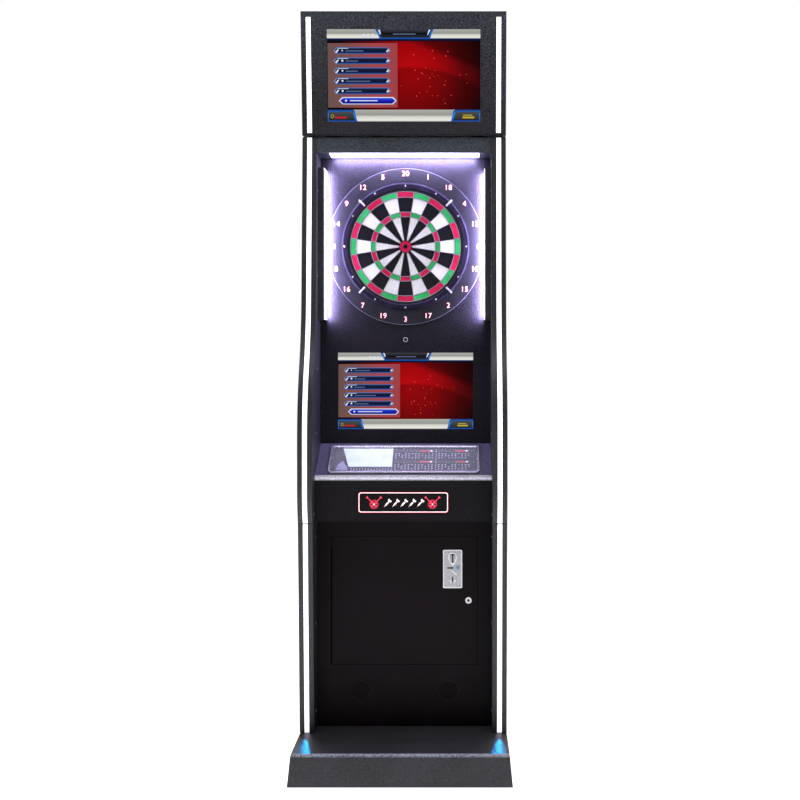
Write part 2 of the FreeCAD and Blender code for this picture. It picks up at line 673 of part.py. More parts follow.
def on_slope(obj):
    """Lays a flat piece on the middle of the deck's slope."""
    obj.Placement.Rotation = FreeCAD.Rotation(V(1, 0, 0), value("slope_angle"))
    return place(obj, 0, "(recess - nose_y)/2", "deck_z - nose_drop/2")


def tray():
    outer = box("tray_outer", ("-tray_wide/2", "-tray_long/2", 0), ("tray_wide", "tray_long", "tray_high"))
    window = box("tray_window", ("-tray_wide/2 + tray_rim", "-tray_long/2 + tray_rim", -1),
                 ("tray_wide - 2*tray_rim", "tray_long - 2*tray_rim", "tray_high + 2"))
    corner_x, corner_y, top = value("tray_wide/2"), value("tray_long/2"), value("tray_high")
    outer = rounded("tray_corners", outer, "tray_rim",
                    lambda p: near(abs(p.x), corner_x) and near(abs(p.y), corner_y))
    frame = rounded("tray_round_over", cut("tray_square", outer, window), "tray_round",
                    lambda p: near(p.z, top))
    holder = group("tray_frame", frame)
    node(on_slope(holder))
    cover = box("cover_sheet", ("-tray_wide/2 + tray_rim + cover_fit", "-tray_long/2 + tray_rim + cover_fit",
                               "cover_lift"),
                ("tray_wide - 2*tray_rim - 2*cover_fit", "tray_long - 2*tray_rim - 2*cover_fit",
                 "cover_thick"))
    node(on_slope(group("tray_cover", cover)))


def badge():
    plate = box("badge_plate",
                ("-badge_wide/2", "-nose_y - badge_proud", "seam_z + badge_up - badge_high/2"),
                ("badge_wide", "badge_proud", "badge_high"))
    half_wide = value("badge_wide/2")
    middle = value("seam_z + badge_up")
    half_high = value("badge_high/2")
    node(rounded("badge_lens", plate, "badge_round",
                 lambda p: near(abs(p.x), half_wide) and near(abs(p.z - middle), half_high)))


# ---- board panel, lower monitor and camera ----

def board_panel():
    plate = box("board_plate", ("-inner", "recess", "deck_z"),
                ("2*inner", "panel_thick", "roof_z - skin - deck_z"))
    hole = rod("board_hole", (0, "recess - 1", "bull_z"), "tub_rad + catch_fit", "panel_thick + 2", "y")
    window = box("screen_window", ("-screen_wide/2", "recess - 1", "screen_z"),
                 ("screen_wide", "panel_thick + 2", "screen_high"))
    eye = rod("camera_hole", (0, "recess - 1", "camera_z"), "camera_rad - 1.5", "panel_thick + 2", "y")
    node(cut("board_panel", plate, hole, window, eye))


def player_camera():
    node(turned("player_camera", [
        (0, 0), ("lens_rad - 1", 0), ("lens_rad", 0.8), ("lens_rad + 0.8", "-camera_proud"),
        ("camera_rad - 0.6", "-camera_proud"), ("camera_rad", "-camera_proud + 0.6"), ("camera_rad", 0),
        ("camera_rad - 2", 0), ("camera_rad - 2", "camera_long"), (0, "camera_long")],
        (0, "recess", "camera_z")))


def lower_monitor():
    node(screen("lower_monitor", "screen_wide", "screen_high", "recess + panel_thick", "screen_z"))


# ---- target board ----

def ring(name, inner, outer, front, deep):
    """A flat ring about the bull: its front face is at front and it runs back by deep."""
    wide = rod(name + "_outer", (0, front, "bull_z"), outer, deep, "y")
    narrow = rod(name + "_inner", (0, f"{front} - 1", "bull_z"), inner, f"{deep} + 2", "y")
    return cut(name, wide, narrow)


def number_ring():
    wide = ring("number_disc", "tub_rad + catch_fit + catch_wide + catch_fit", "disc_rad",
                "recess - disc_thick", "disc_thick")
    front, rim = value("recess - disc_thick"), value("disc_rad")
    middle = value("bull_z")
    node(rounded("number_ring", wide, "disc_thick/2",
                 lambda p: near(p.y, front) and near(math.hypot(p.x, p.z - middle), rim)))


def catch_ring():
    """Four bumpers round the target, split on the diagonals."""
    start = "tub_rad + catch_fit"
    full = turned("catch_turned", [
        (start, 0), (start, "-catch_proud + 3"), (f"{start} + 3", "-catch_proud"),
        (f"{start} + catch_wide - 6", "-catch_proud"), (f"{start} + catch_wide", "-catch_proud + 5"),
        (f"{start} + catch_wide", 0)], (0, "recess", "bull_z"))
    splits = []
    for n, angle in enumerate((45, -45), 1):
        bar = box(f"catch_split_{n}", ("-disc_rad", "recess - catch_proud - 1", "-catch_split/2"),
                  ("2*disc_rad", "catch_proud + 2", "catch_split"))
        bar.Placement.Rotation = FreeCAD.Rotation(V(0, 1, 0), angle)
        bind(bar, "Placement.Base.x", f"-disc_rad*cos({angle}) - catch_split/2*sin({angle})")
        bind(bar, "Placement.Base.z", f"bull_z + disc_rad*sin({angle}) - catch_split/2*cos({angle})")
        splits.append(bar)
    node(cut("catch_ring", full, *splits))


webs = ["outer_bull_rad", "triple_in", "triple_out", "double_in", "double_out"]


def spider():
    front = "recess - spider_proud"
    pieces = [ring(f"web_ring_{n}", f"{rad} - web/2", f"{rad} + web/2", front, "spider_deep")
              for n, rad in enumerate(webs[:-1], 1)]
    pieces.append(ring("web_rim", "double_out - web/2", "double_out + web/2 + tub_rim - segment_fit", front,
                       "spider_deep"))
    for n in range(20):
        angle = 18 * n + 9
        bar = box(f"web_bar_{n + 1}", (0, front, 0), ("double_out - outer_bull_rad", "spider_deep", "web"))
        bar.Placement.Rotation = FreeCAD.Rotation(V(0, 1, 0), -angle)
        bind(bar, "Placement.Base.x", f"outer_bull_rad*cos({angle}) + web/2*sin({angle})")
        bind(bar, "Placement.Base.z", f"bull_z + outer_bull_rad*sin({angle}) - web/2*cos({angle})")
        pieces.append(bar)
    node(join("spider", *pieces))


# Clockwise from the top, as on every dartboard.
numbers = [20, 1, 18, 4, 13, 6, 10, 15, 2, 17, 3, 19, 7, 16, 8, 11, 14, 9, 12, 5]
segment_front = "recess - segment_proud"


def segments():
    """Each number's double, two singles and triple, which press straight back."""
    clear = "(web/2 + segment_fit)"
    apex = f"{clear}/sin(9)"
    for turn, number in enumerate(numbers):
        angle = 90 - 18 * turn
        rings = [ring(f"ring_{number}_{n + 1}", f"{webs[n]} + {clear}", f"{webs[n + 1]} - {clear}",
                      segment_front, "segment_deep") for n in range(4)]
        corner = (f"{apex}*cos({angle})", f"{segment_front} + segment_deep + 1",
                  f"bull_z + {apex}*sin({angle})")
        wedge = rod(f"wedge_{number}", corner, "double_out + 20", "segment_deep + 2", "z")
        wedge.Angle = 18
        wedge.Placement.Rotation = FreeCAD.Rotation(V(1, 0, 0), 90).multiply(
            FreeCAD.Rotation(V(0, 0, 1), angle - 9))
        slice_ = doc.addObject("Part::Common", f"segments_{number:02d}")
        slice_.Base = group(f"rings_{number}", *rings)
        slice_.Tool = wedge
        node(slice_)
    node(ring("bull_outer", "bull_rad + segment_fit", f"outer_bull_rad - {clear}", segment_front,
              "segment_deep"))
    node(rod("bull_inner", (0, segment_front, "bull_z"), "bull_rad - segment_fit", "segment_deep", "y"))


def board_tub():
    """The round housing behind the panel: switch sheet on its floor, web round its mouth."""
    floor = "matrix_y + matrix_thick - recess"
    node(turned("board_tub", [
        ("tub_rad - tub_wall", "-segment_proud"), ("tub_rad", "-segment_proud"), ("tub_rad", "panel_thick"),
        ("tub_rad + tub_flange", "panel_thick"), ("tub_rad + tub_flange", "panel_thick + tub_wall"),
        ("tub_rad", "panel_thick + tub_wall"), ("tub_rad", f"{floor} + tub_wall"),
        (0, f"{floor} + tub_wall"), (0, floor), ("tub_rad - tub_wall", floor)], (0, "recess", "bull_z")))
    node(rod("switch_matrix", (0, "matrix_y", "bull_z"), "tub_rad - tub_wall - catch_fit",
             "matrix_thick", "y"))


# ---- hood and lamps ----

lamp_half = "(inner - lamp_side)"
lamp_low = "(lamp_front - fascia_y)"
lamp_deep = "(fascia_y - lamp_front + recess - lamp_back)"


def hood():
    block = box("hood_block", ("-inner", "-fascia_y", "fascia_z"),
                ("2*inner", "fascia_y + recess", "fascia_high - skin"))
    inside = box("hood_inside", ("-inner - 1", "-fascia_y + skin", "fascia_z + skin"),
                 ("2*inner + 2", "fascia_y + recess", "fascia_high"))
    lamp_hole = box("hood_lamp_hole", (f"-{lamp_half}", lamp_low, "fascia_z - 1"),
                    (f"2*{lamp_half}", lamp_deep, "skin + 2"))
    roof = box("hood_roof", ("-inner", "-fascia_y", "roof_z - skin"), ("2*inner", "fascia_y + rear", "skin"))
    shell = cut("hood_shell", block, inside, lamp_hole)
    node(join("hood", shell, roof))


def lamps():
    """The ceiling lamp sits in the hood; the side lamps stand on the inner walls."""
    top_case = box("ceiling_case_block", (f"-{lamp_half} - 6", f"{lamp_low} - 4", "fascia_z + skin"),
                   (f"2*{lamp_half} + 12", f"{lamp_deep} + 8", "lamp_high"))
    top_hollow = box("ceiling_case_hollow",
                     (f"-{lamp_half} - 4.5", f"{lamp_low} - 2.5", "fascia_z + skin - 1"),
                     (f"2*{lamp_half} + 9", f"{lamp_deep} + 5", "lamp_high - 0.5"))
    top_lens = box("ceiling_lens", (f"-{lamp_half} + 0.3", f"{lamp_low} + 0.3", "fascia_z"),
                   (f"2*{lamp_half} - 0.6", f"{lamp_deep} - 0.6", "diffuser"))
    side_low = "fascia_z - side_lamp_drop - side_lamp_high"
    side_front = "recess - side_lamp_deep"
    side_case = box("side_case_block", ("inner - side_lamp_thick", side_front, side_low),
                    ("side_lamp_thick", "side_lamp_deep", "side_lamp_high"))
    side_hollow = box("side_case_hollow",
                      ("inner - side_lamp_thick - 1", f"{side_front} + 2", f"{side_low} + 2"),
                      ("side_lamp_thick - 1", "side_lamp_deep - 4", "side_lamp_high - 4"))
    side_lens = box("side_lens", ("inner - side_lamp_thick", f"{side_front} + 2.3", f"{side_low} + 2.3"),
                    ("diffuser", "side_lamp_deep - 4.6", "side_lamp_high - 4.6"))
    side = cut("side_case", side_case, side_hollow)
    node(group("lamp_housings", cut("ceiling_case", top_case, top_hollow), side, mirrored(side)))
    node(group("lamp_diffusers", top_lens, side_lens, mirrored(side_lens)))


# ---- rear panels and what is inside ----

def back_panels():
    lower = box("lower_back_sheet", ("-half", "rear", "base_high"), ("2*half", "skin", "lower_high"))
    upper = box("upper_back_sheet", ("-half", "rear", "seam_z"), ("2*half", "skin", "roof_z - seam_z"))
    vents = []
    for n in range(8):
        for hand, side in (("left", -1), ("right", 1)):
            for where, top in (("low", "seam_z - vent_drop"), ("high", "roof_z - vent_drop_top")):
                vents.append(box(f"vent_{where}_{n + 1}_{hand}",
                                 (f"{side}*half/2 - vent_wide/2", "rear - 1", f"{top} - {n}*vent_pitch"),
                                 ("vent_wide", "skin + 2", "vent_high")))
    inlet = centred("inlet_cutout", "-inlet_side", "rear - 1", "base_high + inlet_up", "inlet_wide",
                    "skin + 2", "inlet_high")
    node(cut("back_panels", group("back_sheets", lower, upper), *vents, inlet))


def power_inlet():
    spot = ("-inlet_side", "base_high + inlet_up")
    flange = centred("inlet_flange", spot[0], "rear + skin", spot[1], "inlet_wide + 2*inlet_lap", 2.5,
                     "inlet_high + 6")
    case = centred("inlet_case", spot[0], "rear + skin - inlet_deep", spot[1], "inlet_wide - 0.6",
                   "inlet_deep + 1", "inlet_high - 0.6")
    well = centred("inlet_well", spot[0], "rear + skin + 3 - inlet_deep*0.8", spot[1], "inlet_wide - 4",
                   "inlet_deep*0.8", "inlet_high - 4")
    pins = [centred(f"inlet_blade_{n + 1}", f"{spot[0]} + {7 * (n - 1)}", "rear + skin - inlet_deep + 3",
                    f"{spot[1]} + {2 if n == 1 else -2}", "inlet_pin", "inlet_deep*0.8", "2*inlet_pin")
            for n in range(3)]
    node(join("power_inlet", cut("inlet_socket", join("inlet_block", flange, case), well), *pins))


def vented_case(name, low, size, wall, rows):
    """A thin sheet case with slots through its sides."""
    outer = box(name + "_outer", low, size)
    inner_low = [f"{a} + {wall}" for a in low]
    inner_size = [f"{b} - 2*{wall}" for b in size]
    hollow = box(name + "_hollow", inner_low, inner_size)
    slots = [box(f"{name}_slot_{n + 1}",
                 (f"{low[0]} - 1", f"{low[1]} + slot_in", f"{low[2]} + slot_low + {n}*vent_pitch"),
                 (f"{size[0]} + 2", f"{size[1]} - 2*slot_in", "vent_high")) for n in range(rows)]
    node(cut(name, outer, hollow, *slots))


def inside_parts():
    vented_case("game_computer", ("-inner + pc_in", "rear - case_gap - pc_deep", "base_high"),
                ("pc_wide", "pc_deep", "pc_high"), "pc_wall", 8)
    vented_case("power_supply", ("0", "rear - case_gap - supply_deep", "base_high"),
                ("supply_wide", "supply_deep", "supply_high"), "supply_wall", 3)
    tin = box("tin_outer", ("coin_x - box_wide/2", "inside_gap", "base_high"),
              ("box_wide", "box_deep", "box_high"))
    room = box("tin_inside",
               ("coin_x - box_wide/2 + box_wall", "inside_gap + box_wall", "base_high + box_wall"),
               ("box_wide - 2*box_wall", "box_deep - 2*box_wall", "box_high"))
    node(cut("cash_box", tin, room))


base_plinth()
levelling_feet()
columns()
lower_front()
hinge_pins()
speakers()
service_door()
coin_faceplate()
coin_validator()
coin_reject_button()
coin_return_flap()
lock()
control_panel()
tray()
badge()
board_panel()
player_camera()
lower_monitor()
number_ring()
catch_ring()
spider()
segments()
board_tub()
hood()
lamps()
led_strips(head())
back_panels()
power_inlet()
inside_parts()

doc.recompute()
for obj in doc.Objects:
    if "Invalid" in obj.State or "Error" in obj.State:
        raise RuntimeError(f"{obj.Name} failed: {obj.State}")
for obj in nodes:
    if obj.Shape.isNull() or not obj.Shape.isValid() or not obj.Shape.Solids:
        raise RuntimeError(f"{obj.Label} has no sound solid")

os.makedirs("parts", exist_ok=True)
for obj in nodes:
    obj.Shape.exportStep(f"parts/{obj.Label}.step")
print(len(nodes), "sub-parts")
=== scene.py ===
import json
import math
import random

import bmesh
import bpy
from mathutils import Matrix, Vector


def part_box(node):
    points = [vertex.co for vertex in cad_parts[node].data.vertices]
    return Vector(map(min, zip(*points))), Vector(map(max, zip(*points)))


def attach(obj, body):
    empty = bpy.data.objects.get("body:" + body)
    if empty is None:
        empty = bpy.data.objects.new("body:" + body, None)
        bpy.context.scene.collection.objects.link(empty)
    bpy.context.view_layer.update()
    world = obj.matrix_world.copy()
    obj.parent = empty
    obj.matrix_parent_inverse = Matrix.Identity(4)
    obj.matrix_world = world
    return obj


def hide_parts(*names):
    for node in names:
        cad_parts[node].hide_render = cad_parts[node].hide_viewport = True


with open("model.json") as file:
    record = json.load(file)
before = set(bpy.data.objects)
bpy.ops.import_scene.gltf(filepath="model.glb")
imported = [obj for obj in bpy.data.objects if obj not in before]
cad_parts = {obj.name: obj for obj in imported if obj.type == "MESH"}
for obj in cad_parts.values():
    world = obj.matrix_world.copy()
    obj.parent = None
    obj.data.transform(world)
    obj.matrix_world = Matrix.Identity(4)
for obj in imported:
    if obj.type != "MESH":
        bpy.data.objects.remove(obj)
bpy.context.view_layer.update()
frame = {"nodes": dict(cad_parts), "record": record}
nodes = frame["nodes"]
scene = bpy.context.scene
mm = 0.001
rnd = random.Random(7)
bodyOf = {node: body for body, members in frame["record"]["behaviour"]["bodies"].items() for node in members}


# sRGB hex to the linear colour that shaders take
def linear(code):
    parts = [int(code[i:i + 2], 16) / 255 for i in (1, 3, 5)]
    return [p / 12.92 if p <= 0.04045 else ((p + 0.055) / 1.055) ** 2.4 for p in parts] + [1.0]


def addNode(tree, kind, inputs=None, links=None, **settings):
    node = tree.nodes.new("ShaderNode" + kind)
    for name, setting in settings.items():
        setattr(node, name, setting)
    for name, amount in (inputs or {}).items():
        node.inputs[name].default_value = amount
    for name, source in (links or {}).items():
        tree.links.new(source, node.inputs[name])
    return node


def startMaterial(name, coordinates="Object", **sockets):
    material = bpy.data.materials.new(name)
    material.use_nodes = True
    tree = material.node_tree
    shader = tree.nodes["Principled BSDF"]
    for socket, amount in sockets.items():
        shader.inputs[socket.replace("_", " ")].default_value = amount
    return material, tree, shader, addNode(tree, "TexCoord").outputs[coordinates]


# a colour ramp through (position, hex) stops
def rampBetween(tree, fac, stops):
    ramp = addNode(tree, "ValToRGB", links={"Fac": fac})
    band = ramp.color_ramp
    while len(band.elements) < len(stops):
        band.elements.new(0.5)
    for element, (position, code) in zip(band.elements, stops):
        element.position = position
        element.color = linear(code)
    return ramp.outputs["Color"]


def noise(tree, place, grainMm, detail=2.0, **inputs):
    return addNode(tree, "TexNoise", {"Scale": 1 / (grainMm * mm), "Detail": detail, **inputs},
                   {"Vector": place}).outputs["Fac"]


# a value that runs from start to end, made to run from low to high
def between(tree, fac, low, high, start=0.0, end=1.0):
    spread = {"From Min": start, "From Max": end, "To Min": low, "To Max": high}
    return addNode(tree, "MapRange", spread, {"Value": fac}).outputs["Result"]


def times(tree, first, second):
    return addNode(tree, "VectorMath", links={0: first, 1: second}, operation="MULTIPLY").outputs[0]


# joins each source to the shader's socket of that name
def feed(tree, shader, **sources):
    for socket, source in sources.items():
        tree.links.new(source, shader.inputs[socket.replace("_", " ")])


def bumpFrom(tree, shader, height, deepMm, strength=1.0):
    bump = addNode(tree, "Bump", {"Strength": strength, "Distance": deepMm * mm}, {"Height": height})
    feed(tree, shader, Normal=bump.outputs["Normal"])


# Crinkle powder coat on steel: a leathery grain that sparkles where light grazes it. The true
# grain of about 1 mm is drawn coarser, so that it shows from across a room.
# Each entry of painted light is (y, z, reach in mm, dark, light): a painted highlight along the
# fold through (y, z), or, without a y, painted light from height z over the reach upward.
def powderCoatCrinkle(name, dark, light, grainMm=3.2, rough=0.42, paintedLight=(), gloss=0.5):
    material, tree, shader, place = startMaterial(name, Roughness=rough, IOR=1.5, Specular_IOR_Level=gloss)
    grain = noise(tree, place, grainMm, 3.0, Roughness=0.6)
    mixed = addNode(tree, "Math", {1: 0.25}, {0: noise(tree, place, 220)}, operation="MULTIPLY")
    total = addNode(tree, "Math", links={0: grain, 1: mixed.outputs[0]}, operation="ADD")
    colour = rampBetween(tree, total.outputs[0], [(0.46, dark), (0.8, light)])
    # painted light: a lighter colour added on top of the paint's own, where light falls on it
    for y, z, reach, dull, bright in paintedLight:
        if y is None:
            far = addNode(tree, "SeparateXYZ", links={0: place}).outputs["Z"]
            start, end = z, z + reach
        else:
            flat = addNode(tree, "VectorMath", {1: (0, 1, 1)}, {0: place}, operation="MULTIPLY")
            far = addNode(tree, "VectorMath", {1: (0, y * mm, z * mm)}, {0: flat.outputs[0]},
                          operation="DISTANCE").outputs["Value"]
            start, end = reach, reach * 0.4
        paintedLightShare = between(tree, far, 0.0, 1.0, start * mm, end * mm)
        paintedLightColour = rampBetween(tree, total.outputs[0], [(0.5, dull), (0.76, bright)])
        colour = addNode(tree, "VectorMath", links={0: paintedLightShare, 1: paintedLightColour, 2: colour},
                         operation="MULTIPLY_ADD").outputs[0]
    feed(tree, shader, Base_Color=colour)
    bumpFrom(tree, shader, grain, 0.9, 1.0)
    return material


# Fine satin powder coat: nearly smooth, with a faint orange peel and handling marks.
def powderCoatSatin(name, dark, light, rough=0.38, gloss=0.5):
    material, tree, shader, place = startMaterial(name, Roughness=rough, IOR=1.5, Specular_IOR_Level=gloss)
    smear = noise(tree, place, 90, 4.0)
    feed(tree, shader, Base_Color=rampBetween(tree, smear, [(0.3, dark), (0.75, light)]),
         Roughness=between(tree, smear, rough - 0.06, rough + 0.1, 0.3, 0.7))
    bumpFrom(tree, shader, noise(tree, place, 4), 0.1, 0.6)
    return material


# Injection-moulded plastic: an even colour with a fine spark-eroded texture.
def mouldedPlastic(name, dark, light, rough=0.4, grainMm=1.2, deepMm=0.05, gloss=0.5):
    material, tree, shader, place = startMaterial(name, Roughness=rough, IOR=1.53, Specular_IOR_Level=gloss)
    patch = noise(tree, place, 40, 3.0)
    feed(tree, shader, Base_Color=rampBetween(tree, patch, [(0.3, dark), (0.7, light)]))
    bumpFrom(tree, shader, noise(tree, place, grainMm), deepMm, 0.6)
    return material


# Plated or cast metal: a fine grain pulled one way, with a little uneven polish.
def metalWithGrain(name, dark, light, rough=0.3, grainMm=0.5, stretch=(1, 1, 14)):
    material, tree, shader, place = startMaterial(name, Roughness=rough, Metallic=1.0)
    pulled = addNode(tree, "Mapping", links={"Vector": place})
    pulled.inputs["Scale"].default_value = [1 / s for s in stretch]
    grain = noise(tree, pulled.outputs["Vector"], grainMm, 3.0)
    feed(tree, shader, Base_Color=rampBetween(tree, grain, [(0.3, dark), (0.7, light)]),
         Roughness=between(tree, grain, rough - 0.08, rough + 0.12))
    bumpFrom(tree, shader, grain, 0.03, 0.4)
    return material


# Opal acrylic lit from behind: a bright even face, a shade dimmer between its diodes.
def litAcrylic(name, code, glow, power, patchMm=60):
    material, tree, shader, place = startMaterial(name, Roughness=0.35, IOR=1.49, Base_Color=linear(code),
                                                  Emission_Strength=power)
    waves = noise(tree, place, patchMm, 1.0)
    feed(tree, shader, Emission_Color=rampBetween(tree, waves, [(0.3, glow), (0.6, code)]))
    return material


# One colour of a lit liquid-crystal picture: it shades across its own plate, and the rows of
# cells, drawn coarser than the true 0.3 mm, leave faint lines.
def pictureInk(name, stops, across=False):
    material, tree, shader, place = startMaterial(name, "UV", Roughness=0.3, Specular_IOR_Level=0.06,
                                                  Base_Color=linear("#020203"), Emission_Strength=1.0)
    apart = addNode(tree, "SeparateXYZ", links={0: place})
    colour = rampBetween(tree, apart.outputs["X" if across else "Y"], stops)
    rows = addNode(tree, "TexWave", {"Scale": 1 / (9 * mm), "Distortion": 0.0},
                   {"Vector": addNode(tree, "TexCoord").outputs["Object"]}, bands_direction="Z")
    feed(tree, shader, Emission_Color=times(tree, colour, between(tree, rows.outputs["Fac"], 0.86, 1.0)))
    return material


# The picture's backdrop: deep red that swells left of the middle and sinks to black in the
# corners, crossed by fine slanting lines, a broad curved wave and a shade over the upper right.
def pictureBackdrop(name):
    material, tree, shader, place = startMaterial(name, "UV", Roughness=0.3, Specular_IOR_Level=0.06,
                                                  Base_Color=linear("#030101"), Emission_Strength=0.9)
    wide = addNode(tree, "Mapping", links={"Vector": place})
    wide.inputs["Scale"].default_value = (0.885, 0.5, 0)
    wide = wide.outputs["Vector"]

    def measured(operation, point, stops):
        node = addNode(tree, "VectorMath", {1: (*point, 0)}, {0: wide}, operation=operation)
        return rampBetween(tree, node.outputs["Value"], stops)

    glow = measured("DISTANCE", (0.49, 0.25),
                    [(0.0, "#d4060d"), (0.15, "#b0040b"), (0.3, "#640308"), (0.45, "#0c0102")])
    shade = measured("DOT_PRODUCT", (0.376, 0.927), [(0.0, "#ffffff"), (0.57, "#ffffff"), (0.61, "#a4a4a4")])
    wave = measured("DISTANCE", (0.485, -0.45), [(0.0, "#b0b0b0"), (0.735, "#c4c4c4"), (0.755, "#ffffff")])
    fine = addNode(tree, "TexWave", {"Scale": 44.0, "Distortion": 0.0}, {"Vector": wide},
                   bands_direction="DIAGONAL")
    lines = between(tree, fine.outputs["Fac"], 0.66, 1.1)
    feed(tree, shader, Emission_Color=times(tree, times(tree, times(tree, glow, wave), shade), lines))
    return material


# Clear acrylic sheet: almost unseen but for its sheen and a few fine scratches.
def clearAcrylic(name):
    material, tree, shader, place = startMaterial(name, Roughness=0.06, Specular_IOR_Level=0.3, Alpha=0.06,
                                                  Base_Color=linear("#e8ecf4"))
    feed(tree, shader, Roughness=between(tree, noise(tree, place, 6, 5.0), 0.03, 0.14))
    return material


print("materials")
# painted highlight: a light band along the base's top front edge (y -343, z 104)
crinkle = powderCoatCrinkle("powderCoatedSteelCrinkle", "#080709", "#38393f", 3.6,
                            paintedLight=[(-343, 104, 10, "#3c3e46", "#a0a6b4")])
# painted light: the hood is the same black crinkle paint, drawn as a lighter copy for the light from above that
# falls on it
crinkleLitCopy = powderCoatCrinkle("powderCoatedSteelCrinkleLitCopy", "#0a0c0f", "#48505a", 3.6)
# painted light: the head's front drawn lighter upward from z 2150, for the light from above
headPaint = powderCoatCrinkle("powderCoatedSteelHead", "#09080b", "#34323a", 3.6,
                              paintedLight=[(None, 2150, 330, "#0a0b0d", "#363d46")], gloss=0.3)
satin = powderCoatSatin("powderCoatedSteelSatin", "#0d070b", "#170e14", 0.45, 0.12)
panelFine = powderCoatCrinkle("powderCoatedPanelFine", "#060508", "#2a2730", 3.6, 0.6, gloss=0.12)
# painted light: the deck's slope drawn lighter above z 946, with a painted highlight along its front fold (y
# -110, z 944)
deckPaint = powderCoatCrinkle("powderCoatedDeckFine", "#060407", "#1c181f", 3.0, 0.45,
                              paintedLight=[(None, 946, 6, "#1a1822", "#4c4862"),
                                       (-110, 944, 13, "#b0b2be", "#ffffff")], gloss=0.16)
absBlack = mouldedPlastic("absBlackMoulded", "#0c0c0e", "#161619")
absGloss = mouldedPlastic("acrylicBlackPolished", "#050407", "#09070b", 0.14, 8, 0.02, 0.15)
absDisc = mouldedPlastic("absCharcoalMoulded", "#15131b", "#201d28", 0.5, gloss=0.3)
absBumper = mouldedPlastic("absBumperMoulded", "#181520", "#262230", 0.75, gloss=0.03)
paleButton = mouldedPlastic("absPaleBlueMoulded", "#8fb4d6", "#b4d0ea", 0.3)
segmentBlack = mouldedPlastic("nylonBlackMoulded", "#0a0910", "#15131d", 0.34)
segmentWhite = mouldedPlastic("nylonWhiteMoulded", "#efecf0", "#fbf9fb", 0.4)
segmentRed = mouldedPlastic("nylonMagentaMoulded", "#d4144c", "#ec225e", 0.3)
segmentGreen = mouldedPlastic("nylonGreenMoulded", "#2bb056", "#44d276", 0.3)
webDark = mouldedPlastic("nylonWebMoulded", "#08070b", "#121017", 0.35)
webLight = mouldedPlastic("nylonWebCrestPolished", "#a7a2b2", "#c8c4d0", 0.25)
holeDark = mouldedPlastic("dartHoleShadow", "#050506", "#0a0a0b", 0.8)
rubberFoot = mouldedPlastic("rubberFootMoulded", "#0c0c0c", "#171716", 0.7)
zincCast = metalWithGrain("zincDieCastSatin", "#9f9da4", "#cfccd2", 0.28, 0.6, (1, 1, 6))
zincBright = metalWithGrain("zincDieCastPolished", "#f0eef4", "#ffffff", 0.5, 0.5, (1, 1, 2))
discRimHighlight = mouldedPlastic("absDiscRimPaintedHighlight", "#5c5870", "#7c7894", 0.4)
zincSheet = metalWithGrain("zincPlatedSheet", "#8f9296", "#b9bcc0", 0.34, 0.8, (10, 1, 1))
nickel = metalWithGrain("nickelPlatedTurned", "#b6aeb0", "#e2dcdc", 0.18, 0.3, (1, 1, 1))
silverTrim = metalWithGrain("aluminiumTrimAnodised", "#9d99ae", "#d4d0e2", 0.22, 0.5, (12, 1, 1))
clearCover = clearAcrylic("acrylicSheetClear")
ledWhite = litAcrylic("acrylicLightStripOpal", "#fbfaff", "#ece8ff", 1.25)
lampWhite = litAcrylic("acrylicLampOpal", "#efe9ff", "#d4c8ff", 5.0)
numeralWhite = litAcrylic("acrylicNumeralLit", "#fff4f8", "#ffe2ec", 0.95, 30)
numeralHalo = litAcrylic("acrylicNumeralHaloRed", "#f0386c", "#d81c56", 0.55, 30)
badgeWhite = litAcrylic("acrylicBadgeLinePink", "#ffeef0", "#ffc2cc", 1.0, 30)
badgeRed = litAcrylic("acrylicBadgeLineRed", "#f23c56", "#cc2440", 0.75, 30)


# puts a mesh in the scene, smooth but for its sharp edges
def shown(mesh, name, materials):
    data = bpy.data.meshes.new(name)
    mesh.to_mesh(data)
    mesh.free()
    piece = bpy.data.objects.new(name, data)
    scene.collection.objects.link(piece)
    for material in materials if isinstance(materials, (list, tuple)) else [materials]:
        data.materials.append(material)
    data.shade_smooth()
    data.set_sharp_from_angle(angle=math.radians(38))
    return piece


# one finished piece that rides on a body
def finish(mesh, name, body, materials, replaced=()):
    bmesh.ops.recalc_face_normals(mesh, faces=mesh.faces)
    piece = shown(mesh, name, materials)
    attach(piece, body)
    if replaced:
        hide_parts(*replaced)


def bevelEdges(mesh, edges, width, segments=2):
    bmesh.ops.bevel(mesh, geom=list(edges), offset=width, offset_type="OFFSET", affect="EDGES",
                    segments=segments, profile=0.5, material=-1, clamp_overlap=True)


# a box from corner to corner, with its edges broken
def block(mesh, low, high, bevel=0.0, material=0):
    low, high = Vector(low), Vector(high)
    place = Matrix.Translation((low + high) / 2) @ Matrix.Diagonal((*(high - low), 1))
    made = bmesh.ops.create_cube(mesh, size=1, matrix=place)["verts"]
    for face in {f for v in made for f in v.link_faces}:
        face.material_index = material
    if bevel:
        bevelEdges(mesh, {e for v in made for e in v.link_edges}, bevel)


# a short cylinder about Y: its front face is at centre and it runs back by depth
def disc(mesh, centre, radius, depth, segments=24, bevel=0.0, material=0):
    place = Matrix.Translation(Vector(centre) + Vector((0, depth / 2, 0))) @ Matrix.Rotation(
        math.radians(90), 4, "X")
    made = bmesh.ops.create_cone(mesh, cap_ends=True, cap_tris=False, segments=segments, depth=depth,
                                 radius1=radius, radius2=radius, matrix=place)["verts"]
    for face in {f for v in made for f in v.link_faces}:
        face.material_index = material
    if bevel:
        bevelEdges(mesh, {e for v in made for e in v.link_edges
                          if all(abs(w.co.y - centre[1]) < 1e-6 for w in e.verts)}, bevel)


